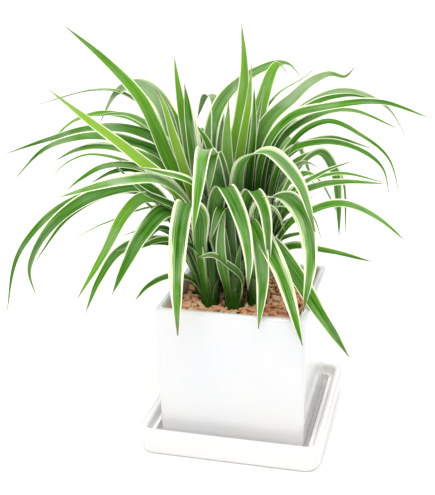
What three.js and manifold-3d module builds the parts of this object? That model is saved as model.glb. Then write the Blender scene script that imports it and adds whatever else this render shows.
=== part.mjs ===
// A potted spider plant: a square glazed pot on its saucer, soil, clay chips and a clump of leafy shoots.
// Millimetres, +Z up, +X right along the pot's front face, +Y to its back.
// The origin is the centre of the saucer's flat underside.
import * as THREE from "three";
import ManifoldModule from "manifold-3d";

const manifoldKit = await ManifoldModule();
manifoldKit.setup();
const { Manifold, Mesh: ManifoldMesh } = manifoldKit;

// Driving dimensions
const FIT_GAP = 0.3; // clearance wherever two pieces touch
const POT_TOP_HALF = 63; // half of the pot's outer width at the rim
const POT_FOOT_HALF = 62; // and at its foot
const POT_WALL = 6.5;
const POT_FLOOR = 8;
const POT_CORNER = 5; // radius of the pot's upright corners
const POT_TOP_Z = 130;
const POT_EDGE_ROUND = 3; // rounding of the pot's rim and foot
const POT_FILLET = 6; // rounding inside, between wall and floor
const SAUCER_RIM_HALF = 79.5;
const SAUCER_FOOT_HALF = 77.5;
const SAUCER_HEIGHT = 23;
const SAUCER_FLOOR = 11;
const SAUCER_RIM = 8; // width of the saucer's rim
const SAUCER_LEDGE_Z = 16; // the step inside the rim
const SAUCER_LEDGE = 3.5;
const SAUCER_CORNER = 13;
const SAUCER_ROUND = 3.5; // rounding of the saucer's rim and foot
const SAUCER_SLOPE = 1.5; // how far the inside leans in from rim to ledge, and from ledge to floor
const LEDGE_ROUND = 1;
const DRAIN_HALF = 9;
const LEAST_CORNER = 2.5; // the sharpest upright corner of any hollow
const SOIL_TOP_Z = 112;
const CHIP_BED = 3; // thickness of the fused bed that the chips stand out of
const CHIP_SEED = 12;
const CHIP_PITCH = 18;
const CHIP_SCATTER = 3; // how far a chip may stray from its place in the pattern
const CHIP_LIFT = 1.5;
const CHIP_SIZE = { length: [12, 17], width: [7, 10], height: [4, 5.5] }; // least and most
const CHIP_SHRINK = [0.7, 1]; // how far a chip's corners are pulled in
const CHIP_LEAN = 15; // most lean, in degrees, each way
const CHIP_CLEARANCE = 0.8; // chips stay this far from a crown
const CROWN_RADIUS = 8;
const CROWN_DEPTH = 14; // how far a crown goes down into the soil
const CROWN_TOP_Z = 150;
const CROWN_FOOT_RADIUS = 6.5;
const CROWN_NECK_RADIUS = 7.8; // where the leaves leave it
const CROWN_TOP_RADIUS = 4.5;
const CROWN_LAP = 0.5; // how far the crown's upper half goes into its lower half
const LEAF_ROOT_Z = 114;
const LEAF_ROOT_OUT = 3.5; // how far from the crown's axis a leaf starts
const LEAF_THICKNESS = 0.8;
const LEAF_STEPS = 3; // stretches of blade beyond one for each place
const LEAF_FOLD = 0.17; // how far the edges stand above the midline, as a share of the width
const LEAF_ROOT_WIDTH = 0.3; // share of the full width at the root
const LEAF_SPREAD = 2; // how fast that share grows along the length
const LEAF_TIP_WIDTH = 0.08; // least share of the width, at the tip
const LEAF_TAPER = 5; // the higher, the later a leaf starts to narrow
const LEAF_TURNED_BY = 1 / 3; // share of the length by which a leaf has its full turn
const CURVE_DIVISIONS = 100; // for measuring along a midline
const CLUMP_TURN = 15; // degrees from the pot's frame to the clump's

const POT_FOOT_Z = SAUCER_FLOOR + FIT_GAP;

const FINISHES = {
  saucer: { color: 0xf6f6f2, roughness: 0.15 },
  pot: { color: 0xf4f4f2, roughness: 0.15 },
  soil: { color: 0x3a2a20, roughness: 0.95 },
  clay: { color: 0xc87e5c, roughness: 0.9 },
  leaf: { color: 0x4f8f34, roughness: 0.5 },
};

// The clump
// Each row is one leaf, in the clump's frame (x right, y back, z up, turned CLUMP_TURN from the pot's):
// its width, its turn in degrees about its midline (0 faces up, 90 stands on edge), then the places that
// the midline passes on its way to the tip. It starts in the crown, at the shoot's own x, y.
const SHOOTS = [
  { name: "shoot_front_left", x: -30, y: -8, leaves: [
    [19, 0, [-38, -24, 170], [-38, -45, 210], [-46, -60, 224], [-54, -75, 182], [-56, -80, 122]],
    [20, 20, [-45, -15, 185], [-64, -30, 208], [-82, -45, 194], [-97, -55, 171], [-108, -60, 150]], // broad
    [12, 30, [-58, -10, 172], [-87, -20, 179], [-105, -30, 174], [-120, -40, 155], [-133, -45, 128]], // lower
    [13, 30, [-55, -15, 200], [-80, -35, 222], [-95, -50, 213], [-112, -60, 185], [-134, -70, 152]], // lime
    [10, 40, [-78, -5, 215], [-118, -10, 220], [-154, -15, 208], [-187, -25, 174], [-202, -30, 121]], // long
    [14, 40, [-77, -15, 223], [-121, -20, 221], [-157, -30, 199], [-177, -35, 165], [-173, -40, 141]], // dark
    [10, 20, [-74, -5, 217], [-114, -5, 216], [-146, -15, 200], [-169, -20, 173], [-176, -25, 163]], // next
    [17, 30, [-46, -30, 214], [-67, -40, 237], [-95, -55, 242], [-118, -65, 240], [-142, -70, 235]], // pale
    [9, 30, [-42, -20, 172], [-66, -30, 185], [-85, -40, 183], [-104, -45, 182]], // short, level
    [9, 20, [-47, -10, 141], [-65, -15, 146], [-82, -20, 140], [-94, -25, 129]], // stub over the rim
    [11, 70, [-48, -20, 211], [-90, -30, 259], [-120, -35, 286], [-147, -40, 311]], // lime, up to the left
    [7, 60, [-50, -25, 205], [-80, -30, 226], [-104, -40, 254]], // small spike
  ] },
  { name: "shoot_left", x: -36, y: 14, leaves: [
    [13, 75, [-47, 0, 212], [-61, 0, 243], [-81, 0, 294], [-108, -5, 328], [-135, -10, 354]], // straight
    [10, 30, [-55, 20, 240], [-92, 30, 275], [-131, 40, 274]], // grey crest
    [13, 30, [-65, 20, 248], [-90, 25, 263], [-126, 30, 265], [-164, 35, 256], [-205, 40, 243]], // level
    [12, 35, [-63, 15, 238], [-94, 20, 255], [-128, 20, 261], [-167, 25, 250], [-196, 25, 224]], // tip hangs
    [14, 35, [-60, 10, 225], [-86, 10, 246], [-119, 15, 253], [-141, 20, 249], [-160, 20, 240]], // arched
    [7, 20, [-65, 0, 225], [-93, 0, 242], [-128, 5, 249], [-150, 5, 240], [-162, 5, 227]], // thin
    [12, 30, [-57, 0, 218], [-85, -5, 239], [-114, -5, 241], [-134, -10, 232], [-147, -10, 222]], // dark arch
    [10, 35, [-55, 5, 208], [-89, 0, 236], [-108, -5, 236], [-127, -5, 227]], // short arch
  ] },
  { name: "shoot_rear_left", x: -24, y: 34, leaves: [
    [20, 45, [-58, 45, 252], [-69, 50, 283], [-86, 60, 296], [-107, 70, 289], [-126, 75, 260]], // broad
    [11, 0, [-75, 55, 266], [-105, 65, 289], [-132, 75, 290], [-166, 85, 281], [-194, 90, 273]], // edge on
    [10, 60, [-45, 30, 218], [-54, 30, 271], [-65, 35, 292]], // upright
    [6, 10, [-64, 45, 187], [-124, 60, 171], [-166, 70, 147]], // low, thin
    [5, 20, [-63, 40, 177], [-88, 50, 168], [-114, 60, 157]], // low, short
    [10, 30, [-80, 50, 258], [-115, 63, 271], [-145, 70, 265], [-162, 72, 253], [-186, 72, 227]], // steep lime
    [17, 0, [-21, 40, 215], [-22, 60, 282], [-29, 70, 284], [-38, 80, 262]], // folds over the back
    [6, 30, [-50, 25, 170], [-73, 35, 186], [-96, 40, 206]], // small, up to the left
    [15, -40, [-27, 45, 245], [-16, 55, 280], [9, 65, 301], [41, 80, 309], [58, 95, 293]], // high arch
  ] },
  { name: "shoot_centre", x: -12, y: 10, leaves: [
    [12, 70, [-33, 16, 184], [-47, 22, 262], [-52, 20, 303], [-54, 18, 326]], // left spike
    [20, 60, [-32, 4, 188], [-40, 5, 249], [-44, 6, 282], [-46, 6, 305]], // broad, pale edge
    [14, 65, [-39, -6, 200], [-56, -10, 263], [-63, -14, 293], [-69, -15, 307]], // lime spike
    [16, -70, [-11, 10, 187], [-6, 10, 240], [3, 5, 311], [1, 5, 352]], // tallest spike
    [15, -70, [-6, 0, 199], [0, 0, 251], [6, -5, 291], [8, -5, 322]], // lime, right of it
    [13, 0, [-12, -10, 203], [-13, -15, 263], [-11, -20, 295]], // short lime
    [9, -60, [3, 15, 203], [10, 15, 268], [11, 20, 300]], // narrow
    [17, 0, [-21, -20, 219], [-30, -45, 263], [-36, -73, 240], [-41, -80, 207]], // arches to the viewer
    [12, 50, [-18, 15, 204], [-29, 20, 253], [-40, 25, 270]], // short, up to the left
    [18, 0, [-16, -15, 209], [-24, -35, 258], [-29, -50, 227]], // short arch to the viewer
    [13, 40, [-32, -14, 209], [-44, -28, 233], [-67, -38, 244], [-87, -45, 251]], // points left
  ] },
  { name: "shoot_rear_right", x: 0, y: 34, leaves: [
    [17, -35, [8, 40, 227], [20, 50, 284], [33, 63, 310], [46, 80, 297]], // broad high arch
    [9, 5, [8, 40, 241], [31, 50, 285], [56, 55, 300], [69, 60, 310]], // edge on, up
    [15, -45, [19, 38, 258], [46, 44, 285], [61, 48, 297], [77, 51, 303], [91, 54, 300], [99, 56, 307]],
    [9, -60, [7, 30, 226], [15, 30, 273], [20, 30, 298]], // pale
    [12, 55, [49, 45, 219], [71, 55, 233], [85, 62, 213], [89, 66, 189], [91, 68, 149]], // droops behind
    [9, -10, [39, 55, 216], [73, 65, 230], [93, 75, 204], [99, 80, 142]], // its neighbour
  ] },
  { name: "shoot_right", x: 10, y: 14, leaves: [
    [11, -45, [18, 9, 244], [40, 8, 275], [69, 3, 284], [112, -3, 288], [152, -10, 275]], // longest
    [10, -40, [24, 20, 248], [58, 25, 281], [88, 30, 288], [116, 40, 282]], // behind it
    [10, -40, [33, 35, 252], [67, 36, 285], [94, 42, 289], [127, 50, 273], [149, 55, 241]], // fine end
    [9, -40, [31, 25, 248], [65, 25, 273], [93, 25, 276], [134, 25, 259]], // narrow
    [11, -20, [40, 15, 248], [70, 15, 269], [99, 15, 257], [122, 10, 238], [134, 10, 203]], // deep arch
    [10, -30, [36, 10, 242], [65, 10, 253], [95, 10, 247], [116, 5, 232], [124, 5, 206]], // second deep arch
    [9, -30, [32, 20, 232], [70, 20, 254], [115, 30, 241]], // level
    [8, -40, [35, -5, 208], [64, -10, 232], [90, -10, 242]], // points up
    [6, -30, [35, 5, 208], [77, 5, 227], [121, 5, 218]], // thin, level
    [10, -40, [35, -5, 205], [61, -10, 221], [84, -10, 224], [117, -15, 223]], // green, level
    [12, -10, [28, 25, 208], [54, 35, 229], [74, 45, 218]], // short, grey
    [7, -20, [37, 25, 186], [58, 35, 186], [74, 45, 149]], // thin, low
  ] },
  { name: "shoot_front_right", x: 10, y: -8, leaves: [
    [18, -10, [-5, -20, 218], [1, -35, 251], [19, -50, 260], [40, -65, 240], [52, -75, 204]], // big arch
    [19, -5, [14, -35, 214], [31, -50, 224], [44, -65, 210], [48, -75, 179], [43, -80, 140]], // next arch
    [14, 5, [-1, -25, 203], [6, -40, 227], [14, -50, 217], [18, -60, 169]], // hangs right of the middle
    [15, 0, [1, -35, 200], [9, -50, 190], [12, -65, 166], [8, -75, 124]], // hangs to the rim
    [17, -10, [8, -30, 198], [17, -50, 185], [29, -70, 160], [42, -85, 113]], // over the front right corner
    [19, -20, [15, -15, 177], [36, -35, 159], [58, -50, 126], [83, -60, 89]], // broad, over the right wall
    [13, -25, [34, -15, 185], [57, -25, 205], [81, -30, 211], [107, -35, 200], [129, -40, 182]], // lower arch
    [11, -20, [18, -8, 150], [38, -2, 165], [68, 2, 160], [112, 5, 147]], // low, level
  ] },
  { name: "shoot_front", x: -10, y: -14, leaves: [
    [16, 0, [-24, -30, 202], [-16, -45, 232], [-5, -60, 214], [1, -70, 185], [0, -75, 157]], // broad, droops
    [10, 0, [-20, -35, 166], [-20, -40, 191], [-16, -40, 214]], // small upright
    [9, 60, [-4, -30, 149], [-16, -35, 164], [-27, -40, 174], [-40, -45, 174]], // small, across
    [14, 0, [-16, -29, 209], [-20, -39, 211], [-29, -46, 188]], // drops behind
  ] },
  { name: "shoot_rear", x: -14, y: 50, leaves: [
    [15, 0, [-30, 70, 215], [-55, 105, 240], [-80, 140, 190]], // back left
    [14, 5, [-18, 75, 225], [-30, 115, 245], [-40, 150, 180]], // back, left of the middle
    [16, 0, [-6, 72, 205], [-8, 108, 225], [-12, 140, 150]], // back, hangs
    [14, -5, [8, 74, 220], [22, 115, 240], [30, 155, 185]], // back, right of the middle
    [15, -10, [20, 68, 210], [48, 100, 235], [75, 130, 180]], // back right
    [13, -10, [28, 60, 190], [65, 85, 205], [100, 105, 150]], // right, behind the pot
    [13, 10, [-42, 62, 190], [-80, 85, 205], [-115, 105, 150]], // left, behind the pot
    [12, 0, [12, 66, 180], [28, 90, 180], [42, 112, 115]], // low, right
  ] },
];

// Small helpers
const degrees = THREE.MathUtils.degToRad;

function seededRandom(seed) {
  let state = seed;
  return () => {
    state = (state * 1664525 + 1013904223) % 4294967296;
    return state / 4294967296;
  };
}

// A closed body from points and triangles, for joining and cutting.
function solidFrom(points, triangles) {
  return new Manifold(new ManifoldMesh({
    numProp: 3,
    vertProperties: new Float32Array(points.flat()),
    triVerts: new Uint32Array(triangles.flat()),
  }));
}

function geometryFrom(solid) {
  const mesh = solid.getMesh();
  const geometry = new THREE.BufferGeometry();
  geometry.setAttribute("position", new THREE.BufferAttribute(new Float32Array(mesh.vertProperties), 3));
  geometry.setIndex(Array.from(mesh.triVerts));
  geometry.computeVertexNormals();
  return geometry;
}

function namedMesh(name, solid, finish) {
  const material = new THREE.MeshStandardMaterial(finish);
  material.name = name;
  const mesh = new THREE.Mesh(geometryFrom(solid), material);
  mesh.name = name;
  return mesh;
}

// Points of a square with rounded corners, at one height.
function squareRing([half, z, corner], steps = 4) {
  const ring = [];
  for (let quarter = 0; quarter < 4; quarter += 1) {
    const middle = degrees(45 + 90 * quarter);
    const centreX = Math.sign(Math.cos(middle)) * (half - corner);
    const centreY = Math.sign(Math.sin(middle)) * (half - corner);
    for (let step = 0; step <= steps; step += 1) {
      const angle = degrees(90 * quarter + (90 * step) / steps);
      ring.push([centreX + corner * Math.cos(angle), centreY + corner * Math.sin(angle), z]);
    }
  }
  return ring;
}

// Joins rings of equal length into a skin. A loop of rings closes on itself; otherwise both ends get a lid.
function skinRings(rings, closedLoop) {
  const size = rings[0].length;
  const points = rings.flat();
  const triangles = [];
  const pairs = closedLoop ? rings.length : rings.length - 1;
  for (let row = 0; row < pairs; row += 1) {
    const next = (row + 1) % rings.length;
    for (let side = 0; side < size; side += 1) {
      const after = (side + 1) % size;
      const a = row * size + side;
      const b = row * size + after;
      const c = next * size + after;
      const d = next * size + side;
      triangles.push([a, b, c], [a, c, d]);
    }
  }
  if (!closedLoop) {
    const last = (rings.length - 1) * size;
    for (let side = 1; side < size - 1; side += 1) {
      triangles.push([0, side + 1, side], [last, last + side, last + side + 1]);
    }
  }
  return solidFrom(points, triangles);
}

// Drops loose scraps and fills sealed hollows: the largest skin is the body.
function oneBody(solid) {
  return solid.decompose().reduce((best, piece) => (piece.volume() > best.volume() ? piece : best));
}

// A round peg, or a cone cut short, standing at x, y.
function roundPeg(x, y, fromZ, toZ, lowRadius, highRadius) {
  const sides = 10;
  const ring = (radius, z) => Array.from({ length: sides }, (_, side) => {
    const angle = degrees((360 * side) / sides);
    return [x + radius * Math.cos(angle), y + radius * Math.sin(angle), z];
  });
  return skinRings([ring(lowRadius, fromZ), ring(highRadius, toZ)], false);
}

function clumpToPot(x, y) {
  const turn = degrees(CLUMP_TURN);
  return [x * Math.cos(turn) - y * Math.sin(turn), x * Math.sin(turn) + y * Math.cos(turn)];
}

// Pot and saucer
// Profile rows [half, z, corner] round an arc. The plan's corner radius grows and shrinks with the outline.
function arcRows(half, z, corner, radius, fromDegrees, toDegrees) {
  const steps = 2;
  const rows = [];
  for (let step = 0; step <= steps; step += 1) {
    const angle = degrees(fromDegrees + ((toDegrees - fromDegrees) * step) / steps);
    const out = radius * Math.cos(angle);
    rows.push([half + out, z + radius * Math.sin(angle), Math.max(LEAST_CORNER, corner + out)]);
  }
  return rows;
}

function saucer() {
  const round = SAUCER_ROUND;
  const rimZ = SAUCER_HEIGHT - round;
  const rimInner = SAUCER_RIM_HALF - SAUCER_RIM;
  const rimCorner = SAUCER_CORNER - SAUCER_RIM;
  const ledgeOuter = rimInner - SAUCER_SLOPE;
  const ledgeInner = ledgeOuter - SAUCER_LEDGE;
  const profile = [
    ...arcRows(SAUCER_FOOT_HALF - round, round, SAUCER_CORNER - round, round, -90, 0),
    ...arcRows(SAUCER_RIM_HALF - round, rimZ, SAUCER_CORNER - round, round, 0, 90),
    ...arcRows(rimInner + round, rimZ, rimCorner + round, round, 90, 180),
    [ledgeOuter, SAUCER_LEDGE_Z, rimCorner],
    ...arcRows(ledgeInner + LEDGE_ROUND, SAUCER_LEDGE_Z - LEDGE_ROUND, rimCorner, LEDGE_ROUND, 90, 180),
    [ledgeInner - SAUCER_SLOPE, SAUCER_FLOOR, rimCorner],
  ];
  return skinRings(profile.map((row) => squareRing(row)), false);
}

// Half the width of the pot's hollow at a height between its fillet and its rim.
function innerHalfAt(z) {
  const lowZ = POT_FOOT_Z + POT_FLOOR + POT_FILLET;
  const highZ = POT_TOP_Z - POT_EDGE_ROUND;
  const share = (z - lowZ) / (highZ - lowZ);
  return POT_FOOT_HALF + share * (POT_TOP_HALF - POT_FOOT_HALF) - POT_WALL;
}

// The fillet at the foot of the hollow, from wall to floor, kept a gap away from it.
function filletRows(gap) {
  const half = POT_FOOT_HALF - POT_WALL - POT_FILLET;
  const z = POT_FOOT_Z + POT_FLOOR + POT_FILLET;
  return arcRows(half, z, LEAST_CORNER, POT_FILLET - gap, 0, -90);
}

function pot() {
  const round = POT_EDGE_ROUND;
  const rimZ = POT_TOP_Z - round;
  const innerTop = POT_TOP_HALF - POT_WALL;
  const drainCorner = DRAIN_HALF - 1;
  const profile = [
    [DRAIN_HALF, POT_FOOT_Z, drainCorner],
    ...arcRows(POT_FOOT_HALF - round, POT_FOOT_Z + round, POT_CORNER - round, round, -90, 0),
    ...arcRows(POT_TOP_HALF - round, rimZ, POT_CORNER - round, round, 0, 90),
    ...arcRows(innerTop + round, rimZ, LEAST_CORNER + round, round, 90, 180),
    ...filletRows(0),
    [DRAIN_HALF, POT_FOOT_Z + POT_FLOOR, drainCorner],
  ];
  return skinRings(profile.map((row) => squareRing(row)), true);
}

// Soil and chips
// A slab that fills the pot's hollow between two heights, a gap away from its walls.
function innerSlab(fromZ, toZ) {
  const rows = [fromZ, toZ].map((z) => [innerHalfAt(z) - FIT_GAP, z, LEAST_CORNER]);
  return skinRings(rows.map((row) => squareRing(row)), false);
}

function crownHoles(fromZ, toZ, radius) {
  const holes = SHOOTS.map((shoot) => {
    const [x, y] = clumpToPot(shoot.x, shoot.y);
    return roundPeg(x, y, fromZ, toZ, radius, radius);
  });
  return Manifold.union(holes);
}

function soil() {
  const rows = [
    ...filletRows(FIT_GAP).reverse(),
    [innerHalfAt(SOIL_TOP_Z) - FIT_GAP, SOIL_TOP_Z, LEAST_CORNER],
  ];
  const block = skinRings(rows.map((row) => squareRing(row)), false);
  const holes = crownHoles(SOIL_TOP_Z - CROWN_DEPTH, SOIL_TOP_Z + FIT_GAP, CROWN_RADIUS + FIT_GAP);
  return block.subtract(holes);
}

// A chip is a small slab with uneven corners, longer than it is wide, leaning a little.
function chip(random, place) {
  const pick = ([least, most]) => least + (most - least) * random();
  const length = pick(CHIP_SIZE.length);
  const width = pick(CHIP_SIZE.width);
  const height = pick(CHIP_SIZE.height);
  const lean = new THREE.Euler(
    degrees(CHIP_LEAN) * pick([-1, 1]), degrees(CHIP_LEAN) * pick([-1, 1]), Math.PI * pick([-1, 1]), "ZYX");
  const rings = [-1, 1].map((level) => [[-1, -1], [1, -1], [1, 1], [-1, 1]].map(([x, y]) => {
    const shrink = pick(CHIP_SHRINK);
    const corner = new THREE.Vector3(x * shrink * length, y * shrink * width, level * height);
    return corner.divideScalar(2).applyEuler(lean).add(place).toArray();
  }));
  return skinRings(rings, false);
}

function clayChips() {
  const random = seededRandom(CHIP_SEED);
  const bedZ = SOIL_TOP_Z + FIT_GAP;
  const topZ = bedZ + CHIP_BED;
  const reach = innerHalfAt(bedZ) - CHIP_SIZE.length[1] / 2;
  const count = Math.floor((2 * reach) / CHIP_PITCH);
  const pieces = [innerSlab(bedZ, topZ)];
  for (let row = 0; row <= count; row += 1) {
    for (let column = 0; column <= count; column += 1) {
      const x = -reach + (2 * reach * column) / count + CHIP_SCATTER * (random() - 0.5);
      const y = -reach + (2 * reach * row) / count + CHIP_SCATTER * (random() - 0.5);
      pieces.push(chip(random, new THREE.Vector3(x, y, topZ + CHIP_LIFT * random())));
    }
  }
  const room = innerSlab(bedZ, POT_TOP_Z);
  const holes = crownHoles(bedZ - FIT_GAP, POT_TOP_Z, CROWN_RADIUS + CHIP_CLEARANCE);
  return oneBody(Manifold.union(pieces).intersect(room).subtract(holes));
}

// Leaves
// A smooth curve through the crown and the places of a row.
function midline(shoot, places) {
  const spots = places.map((place) => new THREE.Vector3(...place));
  const root = new THREE.Vector3(spots[0].x - shoot.x, spots[0].y - shoot.y, 0).setLength(LEAF_ROOT_OUT);
  root.add(new THREE.Vector3(shoot.x, shoot.y, LEAF_ROOT_Z));
  return new THREE.CatmullRomCurve3([root, ...spots], false, "centripetal");
}

// Share of the full width at a share of the length: narrow at the root, long taper to a fine tip.
function widthShare(share) {
  const root = Math.min(1, LEAF_ROOT_WIDTH + LEAF_SPREAD * share);
  return Math.max(LEAF_TIP_WIDTH, root * (1 - share ** LEAF_TAPER));
}

function leaf(shoot, [width, turn, ...places]) {
  const curve = midline(shoot, places);
  const steps = LEAF_STEPS + places.length;
  const tip = places[places.length - 1];
  const heading = new THREE.Vector3(tip[0] - shoot.x, tip[1] - shoot.y, 0).normalize();
  const level = new THREE.Vector3().crossVectors(heading, new THREE.Vector3(0, 0, 1));
  const lengths = curve.getLengths(CURVE_DIVISIONS);
  const rings = [];
  for (let step = 0; step <= steps; step += 1) {
    const middle = curve.getPoint(step / steps);
    const along = curve.getTangent(step / steps);
    const share = lengths[Math.round((CURVE_DIVISIONS * step) / steps)] / lengths[CURVE_DIVISIONS];
    const side = level.clone().addScaledVector(along, -level.dot(along)).normalize();
    side.applyAxisAngle(along, -degrees(turn) * Math.min(1, share / LEAF_TURNED_BY));
    const face = new THREE.Vector3().crossVectors(side, along);
    const half = (width * widthShare(share)) / 2;
    const ring = [];
    for (const [across, lift, skin] of [
      [-1, 1, -0.5], [0, 0, -0.5], [1, 1, -0.5], [1, 1, 0.5], [0, 0, 0.5], [-1, 1, 0.5],
    ]) {
      const spot = middle.clone();
      spot.addScaledVector(side, across * half);
      spot.addScaledVector(face, lift * LEAF_FOLD * 2 * half + skin * LEAF_THICKNESS);
      const [x, y] = clumpToPot(spot.x, spot.y);
      ring.push([x, y, spot.z]);
    }
    rings.push(ring);
  }
  return bladeSolid(rings);
}

// Skins the six-sided rings of a blade; each face of a stretch is split along the same diagonal.
function bladeSolid(rings) {
  const size = 6;
  const triangles = [];
  const quad = (a, b, c, d) => triangles.push([a, c, b], [a, d, c]);
  const cross = (a, b, c, d) => triangles.push([a, d, b], [b, d, c]);
  for (let row = 0; row < rings.length - 1; row += 1) {
    const low = row * size;
    const high = low + size;
    for (let side = 0; side < size; side += 1) {
      const after = (side + 1) % size;
      const split = side === 3 || side === 4 ? cross : quad;
      split(low + side, low + after, high + after, high + side);
    }
  }
  const last = (rings.length - 1) * size;
  for (const [a, b, c, d] of [[0, 1, 4, 5], [1, 2, 3, 4]]) {
    triangles.push([a, b, c], [a, c, d]);
    triangles.push([last + a, last + c, last + b], [last + a, last + d, last + c]);
  }
  return solidFrom(rings.flat(), triangles);
}

function shootSolid(shoot) {
  const [x, y] = clumpToPot(shoot.x, shoot.y);
  const footZ = SOIL_TOP_Z - CROWN_DEPTH + FIT_GAP;
  const crown = [
    roundPeg(x, y, footZ, LEAF_ROOT_Z, CROWN_FOOT_RADIUS, CROWN_NECK_RADIUS),
    roundPeg(x, y, LEAF_ROOT_Z - CROWN_LAP, CROWN_TOP_Z, CROWN_NECK_RADIUS, CROWN_TOP_RADIUS),
  ];
  return oneBody(Manifold.union([...crown, ...shoot.leaves.map((row) => leaf(shoot, row))]));
}

// The part
const part = new THREE.Group();
part.name = "potted_spider_plant";
part.add(namedMesh("saucer", saucer(), FINISHES.saucer));
part.add(namedMesh("pot", pot(), FINISHES.pot));
part.add(namedMesh("potting_soil", soil(), FINISHES.soil));
part.add(namedMesh("clay_chips", clayChips(), FINISHES.clay));
for (const shoot of SHOOTS) {
  part.add(namedMesh(shoot.name, shootSolid(shoot), FINISHES.leaf));
}

export default part;
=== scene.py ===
# %% [markdown]
# # A spider plant in a square white pot
# A house plant is three finishes side by side: leaves that are thin and striped, glazed clay that is white
# and glossy, and a bed of rough clay chips. The frame gives every piece its true place and size, so nothing
# is fitted by eye here: each piece is worked out again in the frame's millimetres with more points, and
# stands in for the plain solid of the same name.

import bpy
import numpy as np
from mathutils import Matrix, Vector


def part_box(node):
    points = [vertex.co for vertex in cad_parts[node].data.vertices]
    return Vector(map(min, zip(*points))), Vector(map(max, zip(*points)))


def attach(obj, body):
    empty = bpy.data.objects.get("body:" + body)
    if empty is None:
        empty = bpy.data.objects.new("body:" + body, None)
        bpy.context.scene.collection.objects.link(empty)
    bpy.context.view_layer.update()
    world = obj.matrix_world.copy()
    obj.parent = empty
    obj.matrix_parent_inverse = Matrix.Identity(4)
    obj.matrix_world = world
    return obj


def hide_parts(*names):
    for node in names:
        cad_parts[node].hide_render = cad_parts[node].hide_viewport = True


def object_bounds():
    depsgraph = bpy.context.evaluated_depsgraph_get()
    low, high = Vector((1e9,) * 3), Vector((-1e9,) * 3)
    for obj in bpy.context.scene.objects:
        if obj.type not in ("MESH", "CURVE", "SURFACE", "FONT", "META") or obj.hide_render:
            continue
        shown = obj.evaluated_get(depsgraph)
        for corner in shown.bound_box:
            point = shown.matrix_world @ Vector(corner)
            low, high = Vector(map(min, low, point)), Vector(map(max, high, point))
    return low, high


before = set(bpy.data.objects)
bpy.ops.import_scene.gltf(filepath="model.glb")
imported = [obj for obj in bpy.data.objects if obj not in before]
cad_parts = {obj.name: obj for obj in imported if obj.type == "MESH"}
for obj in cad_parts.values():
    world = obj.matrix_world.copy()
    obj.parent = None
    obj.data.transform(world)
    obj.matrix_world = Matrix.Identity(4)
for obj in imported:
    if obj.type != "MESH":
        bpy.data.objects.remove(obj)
cad_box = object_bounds()
MM = 0.001  # Blender counts in metres, this script in millimetres


def box_mm(node):
    """Lowest and highest corner of a node, in millimetres."""
    low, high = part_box(node)
    return np.array(low) / MM, np.array(high) / MM


frame_size = [round(side / MM) for side in cad_box[1] - cad_box[0]]
print("the frame holds", len(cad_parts), "nodes and is", frame_size, "mm")

# %% [markdown]
# ## The camera
# The camera comes first, so that every later step can be looked at from the right side. It stands a little
# to the right of the pot's front face and looks slightly down. A tracking constraint could turn it, but that
# leaves out the small roll of this view. So three directions of unit length, pointing back, right and up,
# make its matrix: they are also easier to read than three angles that turn one another.

# %% Camera
AZIMUTH = np.radians(15)
ELEVATION = np.radians(20)
ROLL = np.radians(-1.5)
DISTANCE = 765
AIM_RIGHT = -22.8  # the aim, measured along the camera's own right
AIM_HEIGHT = 166
LENS = 65

flat = np.cos(ELEVATION)  # the share of the way back that runs level
back = np.array([np.sin(AZIMUTH) * flat, -np.cos(AZIMUTH) * flat, np.sin(ELEVATION)])
right = np.array([np.cos(AZIMUTH), np.sin(AZIMUTH), 0])
up = np.cross(back, right)
rolled_right = right * np.cos(ROLL) + up * np.sin(ROLL)
rolled_up = up * np.cos(ROLL) - right * np.sin(ROLL)
eye = right * AIM_RIGHT + np.array([0, 0, AIM_HEIGHT]) + back * DISTANCE

camera = bpy.data.objects.new("camera", bpy.data.cameras.new("camera"))
bpy.context.collection.objects.link(camera)
turned = Matrix(np.array([rolled_right, rolled_up, back]).T).to_4x4()
camera.matrix_world = Matrix.Translation(eye * MM) @ turned
camera.data.lens = LENS
bpy.context.scene.camera = camera
print("the camera stands at", eye.round(), "mm")

# %% [markdown]
# ## Light
# White glaze on a white floor only shows its shape if the light is very even. Three lamps round the plant
# would do for a dark object, but on white each would leave a hard grey shadow. So a pale sky lights from all
# sides, as a light tent does, and a bank of lamps overhead, which is a sun with very soft shadows, brightens
# the floor until it is pure white. Two large soft panels, one above the camera and one behind the plant,
# give the leaves their bright crests. Colours are shown as they are, without a film curve, so white stays
# white.

# %% Light
SKY_LIGHT = 0.72
OVERHEAD_LIGHT = 1.45
OVERHEAD_SPREAD = 50  # degrees of sky that the bank fills, which makes its shadows soft
OVERHEAD_TILT = (8, 5, 0)
PANELS = {  # place, aim, size and watts
    "panel_above": ((-100, -850, 1150), (0, 0, 150), 700, 4.4),
    "panel_behind": ((-150, 1300, 1150), (0, 0, 200), 1000, 4),
}


def softbox(name, place, aim, size, watts):
    """A square light of the given size at a place, turned to face its aim; all in millimetres."""
    light = bpy.data.objects.new(name, bpy.data.lights.new(name, "AREA"))
    light.data.size = size * MM
    light.data.energy = watts
    light.location = Vector(place) * MM
    light.rotation_euler = (Vector(aim) - Vector(place)).to_track_quat("-Z", "Y").to_euler()
    bpy.context.collection.objects.link(light)


for name, panel in PANELS.items():
    softbox(name, *panel)

overhead = bpy.data.objects.new("overhead_bank", bpy.data.lights.new("overhead_bank", "SUN"))
overhead.data.energy = OVERHEAD_LIGHT
overhead.data.angle = np.radians(OVERHEAD_SPREAD)
overhead.rotation_euler = np.radians(OVERHEAD_TILT)
bpy.context.collection.objects.link(overhead)

world = bpy.data.worlds.new("light_tent")
world.use_nodes = True
sky = world.node_tree.nodes["Background"]
sky.inputs["Color"].default_value = (1, 1, 1, 1)
sky.inputs["Strength"].default_value = SKY_LIGHT
bpy.context.scene.world = world
bpy.context.scene.view_settings.view_transform = "Standard"
print(len(PANELS), "soft panels, a bank overhead and a pale sky")

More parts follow.
